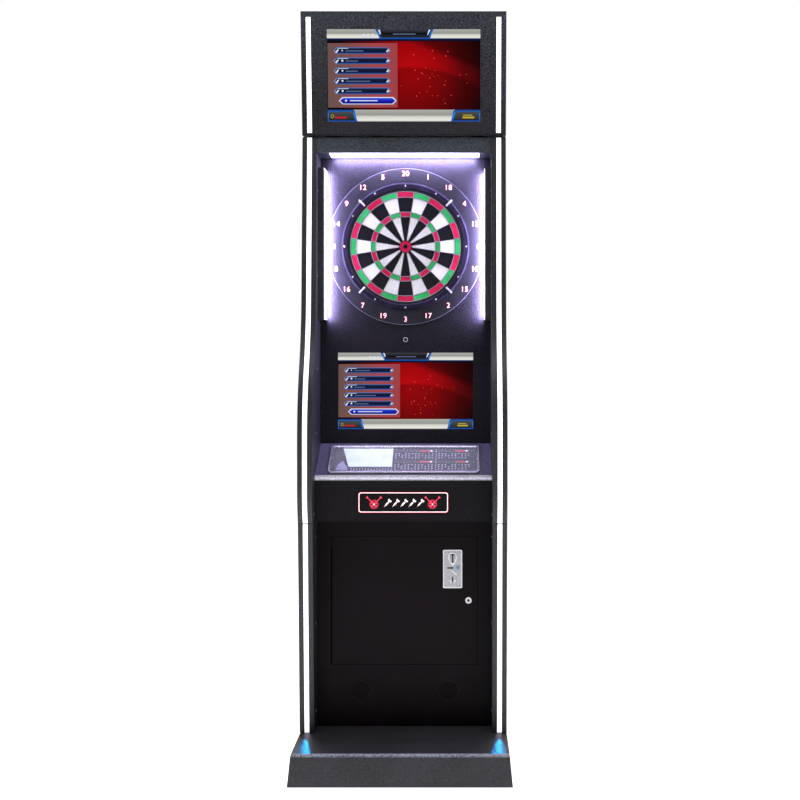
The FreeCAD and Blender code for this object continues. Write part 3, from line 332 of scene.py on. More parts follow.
# a flat plate through (across, up) points, its face at front and its back deeper by thick
def plate(mesh, points, front, thick=0.12 * mm, material=0, bevel=0.0):
    uv = mesh.loops.layers.uv.verify()
    low = [min(p[i] for p in points) for i in (0, 1)]
    span = [max(p[i] for p in points) - low[i] for i in (0, 1)]
    face = mesh.faces.new([mesh.verts.new((u, front, v)) for u, v in points])
    made = bmesh.ops.extrude_face_region(mesh, geom=[face])["geom"]
    back = [g for g in made if isinstance(g, bmesh.types.BMVert)]
    bmesh.ops.translate(mesh, verts=back, vec=(0, thick, 0))
    every = {f for v in back for f in v.link_faces} | {face}
    for one in every:
        one.material_index = material
        for loop in one.loops:
            loop[uv].uv = [(loop.vert.co[axis] - low[i]) / span[i] for i, axis in ((0, 0), (1, 2))]
    if bevel:
        bevelEdges(mesh, face.edges, bevel)


def roundedRect(x, z, wide, high, radius, steps=6):
    right, top = x + wide - radius, z + high - radius
    points = []
    for cornerX, cornerZ, start in ((right, top, 0), (x + radius, top, 90), (x + radius, z + radius, 180),
                                    (right, z + radius, 270)):
        for step in range(steps + 1):
            angle = math.radians(start + 90 * step / steps)
            points.append((cornerX + radius * math.cos(angle), cornerZ + radius * math.sin(angle)))
    return points


def circlePoints(x, z, radius, steps=24, start=0.0):
    turns = [start + math.tau * n / steps for n in range(steps)]
    return [(x + radius * math.cos(turn), z + radius * math.sin(turn)) for turn in turns]


def slab(left, low, right, top):
    return [(left, low), (right, low), (right, top), (left, top)]


# a flat frame between two outlines with the same number of points
def rimPlate(mesh, outer, inner, front, thick, material=0, bevel=0.0):
    loops = []
    for outline in (outer, inner):
        made = [mesh.verts.new((u, front, v)) for u, v in outline]
        loops.append([mesh.edges.new((a, b)) for a, b in zip(made, made[1:] + made[:1])])
    faces = bmesh.ops.bridge_loops(mesh, edges=loops[0] + loops[1])["faces"]
    extruded = bmesh.ops.extrude_face_region(mesh, geom=faces)["geom"]
    back = [g for g in extruded if isinstance(g, bmesh.types.BMVert)]
    bmesh.ops.translate(mesh, verts=back, vec=(0, thick, 0))
    for face in {f for v in back for f in v.link_faces} | set(faces):
        face.material_index = material
    if bevel:
        bevelEdges(mesh, loops[0] + loops[1], bevel)


# a flat ring about (x, z)
def ringPlate(mesh, x, z, outer, inner, front, thick, steps, material=0, bevel=0.0):
    rimPlate(mesh, circlePoints(x, z, outer, steps), circlePoints(x, z, inner, steps), front, thick, material,
             bevel)


# a flat frame about the origin with rounded corners, all but its front and thick in mm
def framePlate(mesh, wide, high, line, outerRound, innerRound, front, thick, material=0):
    outlines = []
    for inset, radius in ((0, outerRound), (line, innerRound)):
        outlines.append(scaled(roundedRect(inset - wide / 2, inset - high / 2, wide - 2 * inset,
                                           high - 2 * inset, radius)))
    rimPlate(mesh, *outlines, front, thick, material)


def scaled(points, amount=mm):
    return [(u * amount, v * amount) for u, v in points]


def moved(mesh, matrix):
    bmesh.ops.transform(mesh, matrix=matrix, verts=mesh.verts)


# takes a small part into a mesh, at its place
def absorb(mesh, part, place):
    moved(part, place)
    holder = bpy.data.meshes.new("part")
    part.to_mesh(holder)
    part.free()
    mesh.from_mesh(holder)
    bpy.data.meshes.remove(holder)


# the middle of a box's front face
def faceMiddle(low, high):
    return Vector(((low.x + high.x) / 2, low.y, (low.z + high.z) / 2))


# the CAD shape itself with its edges broken, as paint and folding leave them
def softened(name, material, width=0.6 * mm):
    mesh = bmesh.new()
    mesh.from_mesh(nodes[name].data)
    bmesh.ops.remove_doubles(mesh, verts=mesh.verts, dist=0.01 * mm)
    bmesh.ops.dissolve_limit(mesh, angle_limit=math.radians(1), use_dissolve_boundaries=False,
                             verts=mesh.verts, edges=mesh.edges)
    piece = shown(mesh, name + "_finished", material)
    edge = piece.modifiers.new("brokenEdges", "BEVEL")
    edge.width = width
    edge.segments = 2
    edge.limit_method = "ANGLE"
    edge.angle_limit = math.radians(40)
    edge.use_clamp_overlap = True
    edge.harden_normals = True
    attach(piece, bodyOf[name])
    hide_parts(name)


print("sheet metal")
sheetFinishes = {
    crinkle: ["base_plinth", "lower_sides", "upper_sides", "back_panels", "lamp_housings"],
    crinkleLitCopy: ["hood"], headPaint: ["head_shell", "head_front"],
    satin: ["lower_front_panel", "service_door"], deckPaint: ["control_panel"], panelFine: ["board_panel"]}
for sheetPaint, sheetNames in sheetFinishes.items():
    for sheetName in sheetNames:
        softened(sheetName, sheetPaint)
plainFinishes = {
    rubberFoot: ["levelling_feet"], absBlack: ["coin_validator", "speakers", "board_tub", "lower_monitor",
                                               "upper_monitor", "power_inlet", "player_camera"],
    zincSheet: ["door_hinge_pins", "cash_box", "power_supply", "game_computer"],
    ledWhite: ["led_strips"], lampWhite: ["lamp_diffusers"], absDisc: ["number_ring", "switch_matrix"],
    absBumper: ["catch_ring"], webDark: ["spider"], silverTrim: ["tray_frame"], clearCover: ["tray_cover"],
    nickel: ["lock_housing", "lock_plug"], zincCast: ["coin_faceplate", "coin_return_flap"],
    paleButton: ["coin_reject_button"], absGloss: ["badge_lens"]}
for plainFinish, plainNames in plainFinishes.items():
    for plainName in plainNames:
        for plainSlot in range(len(nodes[plainName].data.materials)):
            nodes[plainName].data.materials[plainSlot] = plainFinish

bull = faceMiddle(*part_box("spider"))
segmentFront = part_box("bull_inner")[0].y
numbers = [20, 1, 18, 4, 13, 6, 10, 15, 2, 17, 3, 19, 7, 16, 8, 11, 14, 9, 12, 5]
targetSizes = {"rings": [20.6, 102.4, 119, 169, 189], "clear": 1.05, "holeRadius": 1.3, "pitch": 4.9,
               "edge": 0.4, "wall": 14, "holeDeep": 3.5, "margin": 0.9, "crest": 1.2, "crestThick": 0.4,
               "bullPitch": 5.0}
halfSector = math.radians(9)


# a point on the target, its angle counter-clockwise from +X in radians
def polar(radius, angle, y):
    return Vector((bull.x + radius * math.cos(angle), y, bull.z + radius * math.sin(angle)))


def loopOf(mesh, points):
    made = [mesh.verts.new(p) for p in points]
    return [mesh.edges.new((a, b)) for a, b in zip(made, made[1:] + made[:1])]


# a segment's outline, its sides parallel to the web
def sectorOutline(inner, outer, middle, clear, y):
    points = []
    for radius, way in ((inner, 1), (outer, -1)):
        half = halfSector - math.asin(clear / radius)
        steps = max(2, int(half * 2 * radius / (5 * mm)))
        for step in range(steps + 1):
            points.append(polar(radius, middle + way * half * (2 * step / steps - 1), y))
    return points


# blind dart holes as open rings of edges, for triangle_fill to leave out
def holeRings(mesh, spots, radius):
    rings = []
    for spot in spots:
        place = Matrix.Translation(spot) @ Matrix.Rotation(math.radians(90), 4, "X")
        made = bmesh.ops.create_circle(mesh, cap_ends=False, segments=7, radius=radius, matrix=place)
        rings.append(list({e for v in made["verts"] for e in v.link_edges}))
    return rings


# walls that run back from edge loops, closed at the far end where that has a material
def pushBack(mesh, loops, deep, capMaterial=None):
    for loop in loops:
        pushed = bmesh.ops.extrude_edge_only(mesh, edges=loop)["geom"]
        bmesh.ops.translate(mesh, vec=(0, deep, 0),
                            verts=[g for g in pushed if isinstance(g, bmesh.types.BMVert)])
        if capMaterial is not None:
            farEdges = [g for g in pushed if isinstance(g, bmesh.types.BMEdge)]
            for face in bmesh.ops.contextual_create(mesh, geom=farEdges)["faces"]:
                face.material_index = capMaterial


# one scoring field: a flat face with blind dart holes, a broken edge and side walls
def perforatedField(mesh, inner, outer, middle, material):
    clear, edge = targetSizes["clear"] * mm, targetSizes["edge"] * mm
    hole, pitch = targetSizes["holeRadius"] * mm, targetSizes["pitch"] * mm
    before = set(mesh.faces)
    top = loopOf(mesh, sectorOutline(inner + clear + edge, outer - clear - edge, middle, clear + edge,
                                     segmentFront))
    rim = loopOf(mesh, sectorOutline(inner + clear, outer - clear, middle, clear, segmentFront + edge))
    margin = clear + hole + targetSizes["margin"] * mm
    room = outer - inner - 2 * margin
    rows = int(room / pitch) + 1
    spots = []
    for row in range(rows):
        radius = inner + margin + room / max(1, rows - 1) * row
        half = halfSector - math.asin(min(1, margin / radius))
        count = int(2 * half * radius / pitch) + 1 if half > 0 else 0
        for n in range(count):
            aside = half * (2 * n / (count - 1) - 1) if count > 1 else 0
            spots.append(polar(radius, middle + aside, segmentFront))
    holes = holeRings(mesh, spots, hole)
    bmesh.ops.triangle_fill(mesh, use_beauty=True, use_dissolve=False, normal=(0, -1, 0),
                            edges=top + [e for ring in holes for e in ring])
    bmesh.ops.bridge_loops(mesh, edges=top + rim)
    pushBack(mesh, [rim], targetSizes["wall"] * mm, 2)
    pushBack(mesh, holes, targetSizes["holeDeep"] * mm, 2)
    for face in set(mesh.faces) - before:
        if face.material_index != 2:
            face.material_index = material


def targetFields():
    rings = [r * mm for r in targetSizes["rings"]]
    for turn, number in enumerate(numbers):
        mesh = bmesh.new()
        for band in range(4):
            perforatedField(mesh, rings[band], rings[band + 1], math.radians(90 - 18 * turn), band % 2)
        name = f"segments_{number:02d}"
        pair = [segmentBlack, segmentRed] if turn % 2 == 0 else [segmentWhite, segmentGreen]
        finish(mesh, f"number_{number:02d}_fields", bodyOf[name], pair + [holeDark], [name])


# the two bulls: round fields of dart holes about the centre
def bullField(name, inner, outer, holeRadii, material):
    mesh = bmesh.new()
    edge = targetSizes["edge"] * mm
    loops = [loopOf(mesh, [polar(radius, math.tau * n / 48, segmentFront + back) for n in range(48)])
             for radius, back in ((outer - edge, 0), (outer, edge), (inner + edge, 0), (inner, edge))
             if inner or back == 0 and radius > edge or radius == outer]
    spots = []
    for radius in holeRadii:
        count = max(1, round(math.tau * radius / (targetSizes["bullPitch"] * mm)))
        spots += [polar(radius, math.tau * n / count, segmentFront) for n in range(count)]
    holes = holeRings(mesh, spots, targetSizes["holeRadius"] * mm)
    flat = loops[0] + (loops[2] if inner else [])
    bmesh.ops.triangle_fill(mesh, use_beauty=True, use_dissolve=False, normal=(0, -1, 0),
                            edges=flat + [e for ring in holes for e in ring])
    for near, far in zip(loops[::2], loops[1::2]):
        bmesh.ops.bridge_loops(mesh, edges=near + far)
    pushBack(mesh, loops[1::2], targetSizes["wall"] * mm)
    pushBack(mesh, holes, targetSizes["holeDeep"] * mm, 1)
    finish(mesh, name + "_field", bodyOf[name], [material, holeDark], [name])


# the web's polished crests round the doubles and triples, where darts have rubbed it bright
def webCrests():
    mesh = bmesh.new()
    crest, thick = targetSizes["crest"] * mm, targetSizes["crestThick"] * mm
    front = bull.y - 0.15 * mm
    middle = Vector((bull.x, bull.z))
    rings = [r * mm for r in targetSizes["rings"]]
    for radius in rings[1:]:
        ringPlate(mesh, bull.x, bull.z, radius + crest / 2, radius - crest / 2, front, thick, 120)
    for inner, outer in (rings[1:3], rings[3:5]):
        for n in range(20):
            angle = halfSector * (2 * n + 1)
            side = Vector((-math.sin(angle), math.cos(angle))) * crest / 2
            along = Vector((math.cos(angle), math.sin(angle)))
            corners = [middle + along * r + side * s
                       for r, s in ((inner, -1), (outer, -1), (outer, 1), (inner, 1))]
            plate(mesh, [tuple(c) for c in corners], front, thick)
    finish(mesh, "web_crests", "cabinet", webLight)


print("target")
targetFields()
bullField("bull_outer", 8.45 * mm, 19.55 * mm, [11.4 * mm, 16.4 * mm], segmentRed)
bullField("bull_inner", 0, 7.95 * mm, [0, 5.0 * mm], segmentBlack)
webCrests()


# lit numerals round the disc: a white figure on a slightly larger red one
def numerals():
    sizes = {"height": 24.8, "radius": 250, "figure": -0.3, "halo": 0.5, "figureLift": 0.6, "haloLift": 0.3,
             "thick": 0.15}
    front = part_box("number_ring")[0].y
    for turn, number in enumerate(numbers):
        for part, material in (("halo", numeralHalo), ("figure", numeralWhite)):
            name = f"numeral_{number:02d}_{part}"
            text = bpy.data.curves.new(name, "FONT")
            text.body = str(number)
            text.size = sizes["height"] * mm
            text.space_character = 1.08
            text.align_x = "CENTER"
            text.align_y = "CENTER"
            text.offset = sizes[part] * mm
            text.extrude = sizes["thick"] * mm
            holder = bpy.data.objects.new(name, text)
            scene.collection.objects.link(holder)
            bpy.context.view_layer.update()
            graph = bpy.context.evaluated_depsgraph_get()
            data = bpy.data.meshes.new_from_object(holder.evaluated_get(graph))
            bpy.data.objects.remove(holder)
            spot = polar(sizes["radius"] * mm, math.radians(90 - 18 * turn), front - sizes[part + "Lift"] * mm)
            data.transform(Matrix.Translation(spot) @ Matrix.Rotation(math.radians(90), 4, "X"))
            data.materials.clear()
            data.materials.append(material)
            piece = bpy.data.objects.new(name, data)
            scene.collection.objects.link(piece)
            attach(piece, "cabinet")


# a cross-head screw that stands proud of a face at spot; the dark cross is cut a little above it
def crossScrew(mesh, spot, radius, proud, slotMaterial=1):
    spot = Vector(spot)
    disc(mesh, spot - Vector((0, proud, 0)), radius, proud, 16, proud * 0.45)
    for wide, high in ((radius * 1.1, radius * 0.26), (radius * 0.26, radius * 1.1)):
        block(mesh, spot + Vector((-wide / 2, -proud - 0.05 * mm, -high / 2)),
              spot + Vector((wide / 2, -proud * 0.5, high / 2)), material=slotMaterial)


# screws, corner clips and the pointer of the bumper ring, and a painted highlight round the number disc's rim
def bumperFittings():
    sizes = {"screws": 12, "screwAt": 208.8, "head": 2.6, "proud": 0.9, "clipWide": 5.4, "clipIn": 197,
             "clipOut": 225, "pointer": 5, "edgeFrom": 0.3, "edgeTo": 1.7}
    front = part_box("catch_ring")[0].y
    mesh = bmesh.new()
    for n in range(sizes["screws"]):
        # the one at the top gives way to the pointer
        if n != 3:
            crossScrew(mesh, polar(sizes["screwAt"] * mm, math.tau * n / sizes["screws"], front),
                       sizes["head"] * mm, sizes["proud"] * mm)
    finish(mesh, "bumper_screws", "cabinet", [zincBright, absBlack])
    mesh = bmesh.new()
    for n in range(4):
        clip = bmesh.new()
        block(clip, (sizes["clipIn"] * mm, -0.6 * mm, -sizes["clipWide"] / 2 * mm),
              (sizes["clipOut"] * mm, 6 * mm, sizes["clipWide"] / 2 * mm), 0.6 * mm)
        block(clip, (sizes["clipIn"] * mm + 1 * mm, -0.75 * mm, -0.5 * mm),
              (sizes["clipOut"] * mm - 1 * mm, 0, 0.5 * mm), material=1)
        absorb(mesh, clip, Matrix.Translation((bull.x, front, bull.z)) @ Matrix.Rotation(
            -math.radians(45 + 90 * n), 4, "Y"))
    finish(mesh, "bumper_clips", "cabinet", [zincBright, absBlack])
    # painted highlight: a lighter line just inside the number disc's rim, where its edge catches the lamps'
    # light
    mesh = bmesh.new()
    discLow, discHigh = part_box("number_ring")
    outer = (discHigh.x - discLow.x) / 2
    ringPlate(mesh, bull.x, bull.z, outer - sizes["edgeFrom"] * mm, outer - sizes["edgeTo"] * mm,
              discLow.y - 0.2 * mm, 0.5 * mm, 160)
    finish(mesh, "number_disc_rim_highlight", "cabinet", discRimHighlight)
    mesh = bmesh.new()
    top = bull.z + sizes["screwAt"] * mm
    half = sizes["pointer"] / 2 * mm
    plate(mesh, [(bull.x - half, top - half), (bull.x + half, top - half), (bull.x, top + half)],
          front - 0.5 * mm, 0.6 * mm)
    finish(mesh, "bumper_pointer", "cabinet", segmentWhite)


print("numerals and bumper")
numerals()
bumperFittings()

inkStops = {
    "SilverBar": [(0.0, "#8a8a88"), (0.1, "#f2f1ea"), (0.42, "#d9d8d0"), (0.55, "#9a9a96"), (1.0, "#b4b4ae")],
    "BlackTitle": [(0.0, "#2c2e34"), (0.5, "#0a0a0c"), (1.0, "#3c3f46")],
    "BlueEdge": [(0.0, "#0f4fae"), (0.6, "#2f7fe0"), (1.0, "#0c3c86")],
    "NightLine": [(0.0, "#050408"), (1.0, "#0a1f52")],
    "RoseVeil": [(0.0, "#6c5450"), (0.3, "#84504f"), (0.7, "#ab474c"), (1.0, "#a04348")],
    "SteelEdge": [(0.0, "#2c5fa8"), (0.5, "#8aa6d8"), (1.0, "#3b6cb6")],
    "NavyBar": [(0.0, "#1a3a80"), (0.3, "#0c1430"), (0.8, "#131c3c"), (1.0, "#39507c")],
    "WhiteMark": [(0.0, "#c8d4f0"), (1.0, "#f4f8ff")],
    "RoyalBar": [(0.0, "#0a0a78"), (0.5, "#1420b4"), (1.0, "#3a58e6")],
    "DimMark": [(0.0, "#4c5c84"), (1.0, "#7484ac")],
    "SlateBox": [(0.0, "#20262a"), (1.0, "#4a4f52")],
    "RedMark": [(0.0, "#b0101c"), (1.0, "#dc2430")],
    "YellowMark": [(0.0, "#a89020"), (1.0, "#dcc840")],
    "Sparkle": [(0.0, "#e8202c"), (1.0, "#ff5048")]}
inks = [pictureBackdrop("pictureRedBackdrop")] + [
    pictureInk("picture" + inkName, stops, inkName == "RoseVeil") for inkName, stops in inkStops.items()]
(backdropInk, silverInk, titleInk, blueInk, nightInk, roseInk, steelInk, navyInk, whiteInk, royalInk, dimInk,
 slateInk, redInk, yellowInk, sparkInk) = range(len(inks))


# The game menu that both screens show, laid out on a 464 by 262 field from its lower left corner.
# Words are left out: plain dashes stand where a menu would have them.
def menuPicture(name, place, wide, high):
    sizes = {"field": (464, 262), "rowsFrom": 201.8, "rowPitch": 28.6, "rowHigh": 19, "rowLeft": 20,
             "rowRight": 192, "dashes": [54, 37, 36, 74, 48, 84], "marks": (3, 8, 4, 5, 6), "sparkles": 40}
    mesh = bmesh.new()

    def draw(points, level, ink):
        plate(mesh, scaled(points), -0.14 * level * mm, 0.12 * mm, ink)

    def chamfered(left, right, low, tall, cut):
        middle = low + tall / 2
        return [(left + cut, low), (right - cut, low), (right, middle), (right - cut, low + tall),
                (left + cut, low + tall), (left, middle)]

    fieldWide, fieldHigh = sizes["field"]
    draw(slab(0, 0, fieldWide, fieldHigh), 1, backdropInk)
    draw(slab(0, 236, fieldWide, fieldHigh), 2, silverInk)
    draw(slab(0, 228.5, fieldWide, 236), 2, nightInk)
    draw([(146, 262), (160, 234.5), (312, 234.5), (322, 262)], 3, blueInk)
    draw([(152, 262), (163.5, 238), (308, 238), (316, 262)], 4, titleInk)
    draw([(155, 260.6), (160, 248), (164, 248), (160, 260.6)], 5, whiteInk)
    draw([(308, 260.6), (303, 246), (306, 246), (313, 260.6)], 5, whiteInk)
    draw(slab(200, 247, 268, 249.6), 5, dimInk)
    for x in (104, 117, 130):
        draw([(x, 240), (x + 6, 240), (x + 12, 249), (x + 6, 249)], 3, whiteInk)
    draw(slab(1.4, 40, 213, 223), 2, roseInk)
    left, right, tall = sizes["rowLeft"], sizes["rowRight"], sizes["rowHigh"]
    for row, (dash, corners) in enumerate(zip(sizes["dashes"], sizes["marks"])):
        low = sizes["rowsFrom"] - tall / 2 - sizes["rowPitch"] * row
        draw(chamfered(left, right, low, tall, 9), 3, steelInk)
        draw(chamfered(left + 3, right - 3, low + 1.8, tall - 3.6, 8), 4, navyInk)
        draw([(left + 4, low + 4), (left + 9, low + 2), (left + 16, low + 12), (left + 12, low + 13)], 5,
             whiteInk)
        draw([(right - 4, low + 9), (right - 8, low + 13.5), (right - 14, low + 6), (right - 11, low + 5)], 5,
             whiteInk)
        draw(slab(left + 12, low + 15, left + 44, low + 16.6), 5, whiteInk)
        draw(circlePoints(left + 26, low + tall / 2, 3.4, corners, math.pi / 2), 5, whiteInk)
        draw(slab(left + 36, low + 7, left + 36 + dash, low + 9.6), 5, dimInk)
    draw(chamfered(34, 210, 49, 21, 11), 3, whiteInk)
    draw(chamfered(38, 206, 51.4, 16.2, 9.5), 4, royalInk)
    draw(circlePoints(56, 59.5, 3.8, 4), 5, whiteInk)
    draw(slab(68, 58, 68 + sizes["dashes"][5], 61), 5, whiteInk)
    draw(slab(0, 0, fieldWide, 34), 2, silverInk)
    for edge, box, left, ink in (([(0, 0), (90, 0), (82, 31), (78, 34), (0, 34)],
                                  [(3, 3), (83, 3), (76, 28), (3, 28)], 8, redInk),
                                 ([(375, 0), (464, 0), (464, 34), (388, 34), (382, 31)],
                                  [(382, 3), (461, 3), (461, 28), (390, 28)], 396, yellowInk)):
        draw(edge, 3, blueInk)
        draw(box, 4, slateInk)
        draw(slab(left + 14, 9, left + 50, 14), 5, ink)
        draw(slab(left + 16, 17, left + 44, 19.5), 5, ink if ink == yellowInk else slateInk)
    ringPlate(mesh, 14 * mm, 15 * mm, 5.6 * mm, 3.2 * mm, -0.7 * mm, 0.12 * mm, 20, yellowInk)
    for n in range(sizes["sparkles"]):
        x, z = rnd.gauss(305, 48), rnd.gauss(118, 46)
        if 222 < x < 440 and 42 < z < 222:
            draw(circlePoints(x, z, rnd.uniform(0.7, 2.1), 8), 2, sparkInk)
    moved(mesh, place @ Matrix.Diagonal((wide / (fieldWide * mm), 1, high / (fieldHigh * mm), 1)))
    finish(mesh, name, "cabinet", inks)


def screens():
    rim = 12 * mm
    low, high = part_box("lower_monitor")
    menuPicture("lower_screen_picture", Matrix.Translation((low.x + rim, low.y, low.z + rim)),
                high.x - low.x - 2 * rim, high.z - low.z - 2 * rim)
    head = {"y": -50 * mm, "z": 2080 * mm, "lean": math.atan(48 / 400), "plate": 2.5 * mm, "half": 254 * mm,
            "low": 45 * mm, "high": 300 * mm}
    stand = Matrix.Translation((0, head["y"], head["z"])) @ Matrix.Rotation(head["lean"], 4, "X")
    menuPicture("upper_screen_picture", stand @ Matrix.Translation((-head["half"], head["plate"], head["low"])),
                2 * head["half"], head["high"])


print("screens")
screens()

cardShades = {"Slate": ("#15131c", "#211e2a", 0.5, 0.15), "Dark": ("#0b0a11", "#15131d", 0.5, 0.5),
              "Pale": ("#bccfd2", "#d6e4e4", 0.45, 0.5), "Dot": ("#8f8ba0", "#b4b0c4", 0.45, 0.5),
              "Red": ("#a01428", "#c01e34", 0.45, 0.5), "White": ("#dcdae6", "#f0eff6", 0.45, 0.5),
              "Violet": ("#6c6688", "#8a84a8", 0.45, 0.5)}
cardInks = [mouldedPlastic("printedCard" + shade, dark, light, rough, 0.8, gloss=gloss)
            for shade, (dark, light, rough, gloss) in cardShades.items()]
(slateCard, darkCard, paleCard, dotCard, redCard, whiteCard, violetCard) = range(len(cardInks))
deckPlace = Matrix.Translation((0, -21 * mm, 994.5 * mm)) @ Matrix.Rotation(
    math.atan(101 / 178) - math.radians(90), 4, "X")


# the score card under the deck's clear cover: rule tables, a pale sheet and a dark margin
def scoreCard():
    sizes = {"half": 239, "high": 70, "tableLeft": -36, "tableRight": 234, "divider": 106, "dotPitch": 11.2,
             "dot": 2.7}
    mesh = bmesh.new()

    def draw(points, level, ink):
        plate(mesh, scaled(points), (-0.25 - 0.08 * level) * mm, 0.1 * mm, ink)

    half, high, tableLeft, divider = (sizes[part] for part in ("half", "high", "tableLeft", "divider"))
    tableRight, pitch = sizes["tableRight"], sizes["dotPitch"]
    draw(roundedRect(-half, -high, 2 * half, 2 * high, 4), 0, slateCard)
    draw(slab(-half + 6, -high + 6, -202, high - 6), 1, darkCard)
    draw([(-half + 12, -62), (-188, -62), (-188, -46), (-206, -8), (-222, -30)], 2, violetCard)
    draw([(-210, high - 2), (-40, high - 2), (-40, -42), (-185, -42)], 3, paleCard)
    for n in range(8):
        z = 58 - 13 * n
        draw(slab(-196 + 1.2 * n, z, -52, z + 0.7), 4, whiteCard)
    for bandTop in (62, -4):
        draw(slab(tableLeft, bandTop - 16, tableRight, bandTop), 1, darkCard)
        for left in (52, 172):
            draw(slab(left, bandTop - 12, left + 34, bandTop - 4), 2, redCard)
            draw(circlePoints(left + 38, bandTop - 8, 4.2, 12), 3, whiteCard)
        for row in range(3):
            z = bandTop - 25 - 12.5 * row
            draw(slab(tableLeft, z - 6.6, tableRight, z - 5.8), 1, violetCard)
            for column in range(int((tableRight - tableLeft - 2) / pitch)):
                x = tableLeft + 6 + pitch * column
                if abs(x - divider) > 4 and (column * 3 + row * 5) % 7 < 6:
                    draw(circlePoints(x, z, sizes["dot"], 6), 2, dotCard)
    draw(slab(divider - 0.6, -high + 4, divider + 0.6, high - 6), 2, dotCard)
    for row in range(2):
        for column in range(15):
            draw(circlePoints(-176 + 9.6 * column, -50 - 10 * row, 2.4, 6), 2, dotCard)
    moved(mesh, deckPlace)
    finish(mesh, "score_card", "cabinet", cardInks)
    # painted shade: a black frame round the tray, standing for the shade along its recess
    mesh = bmesh.new()
    framePlate(mesh, 517, 178, 9.5, 19, 12, -0.5 * mm, 0.9 * mm)
    moved(mesh, deckPlace)
    finish(mesh, "tray_recess_painted_shade", "cabinet", absBlack)
    mesh = bmesh.new()
    framePlate(mesh, 502, 163, 4.5, 13, 10, -6.3 * mm, 0.5 * mm)
    moved(mesh, deckPlace)
    finish(mesh, "tray_rim_polish", "cabinet", zincCast)
    mesh = bmesh.new()
    for x, z in ((0, 76.5), (0, -76.5), (-246, 0), (246, 0)):
        crossScrew(mesh, (x * mm, -6 * mm, z * mm), 2.6 * mm, 0.7 * mm)
    moved(mesh, deckPlace)
    finish(mesh, "tray_screws", "cabinet", [zincSheet, absBlack])


# a dart in outline, its tip at the origin and its flight up the given angle
def dartOutline(x, z, long, angle, stout=1.0):
    half = [(0.28, 0.03), (0.3, 0.075), (0.62, 0.075), (0.66, 0.03), (0.74, 0.03), (0.82, 0.17), (1.0, 0.17)]
    shape = [(0, 0), *half, (0.94, 0), *((u, -v) for u, v in reversed(half))]
    turn = math.radians(angle)
    return [(x + long * (u * math.cos(turn) - stout * v * math.sin(turn)),
             z + long * (u * math.sin(turn) + stout * v * math.cos(turn))) for u, v in shape]


# the lit badge on the deck's front: a bright rounded border, two small targets and a row of darts
def badge():
    sizes = {"line": 3.4, "inset": 1.4, "innerLine": 2.2, "round": 9, "targetAt": 96, "targetRadius": 14.5,
             "drop": 6, "dartLong": 33}
    low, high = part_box("badge_lens")
    wide, tall = (high.x - low.x) / mm, (high.z - low.z) / mm
    mesh = bmesh.new()
    for part, inset, line, level in ((1, sizes["inset"], sizes["line"], 0.2),
                                     (0, sizes["inset"] + 1.2, sizes["innerLine"], 0.35)):
        outerRound = sizes["round"] - inset / 2
        framePlate(mesh, wide - 2 * inset, tall - 2 * inset, line, outerRound, outerRound - line / 2,
                   -level * mm, 0.3 * mm, part)
    for side in (-1, 1):
        x, z, radius = side * sizes["targetAt"], -sizes["drop"], sizes["targetRadius"]
        ringPlate(mesh, x * mm, z * mm, radius * mm, (radius - 1.5) * mm, -0.3 * mm, 0.3 * mm, 32, 1)
        for n in range(4):
            corner = math.radians(90 * n)
            arc = [(x + r * math.cos(corner + math.radians(a)), z + r * math.sin(corner + math.radians(a)))
                   for r, a in [(3.2, 45)] + [(radius - 3.4, a) for a in (8, 27, 45, 63, 82)]]
            plate(mesh, scaled(arc), -0.3 * mm, 0.3 * mm, 1)
        plate(mesh, scaled(circlePoints(x, z, 2.4, 16)), -0.35 * mm, 0.35 * mm, 0)
        for aside, lean in ((-3, 135), (3, 45)):
            plate(mesh, scaled(dartOutline(x + aside, z + 3, 31, lean, 0.62)), -0.5 * mm, 0.3 * mm, 1)
    for n in range(5):
        plate(mesh, scaled(dartOutline(-64 + 27 * n, -16, sizes["dartLong"], 48)), -0.3 * mm, 0.3 * mm, 0)
    moved(mesh, Matrix.Translation(faceMiddle(low, high)))
    finish(mesh, "badge_lines", "cabinet", [badgeWhite, badgeRed])


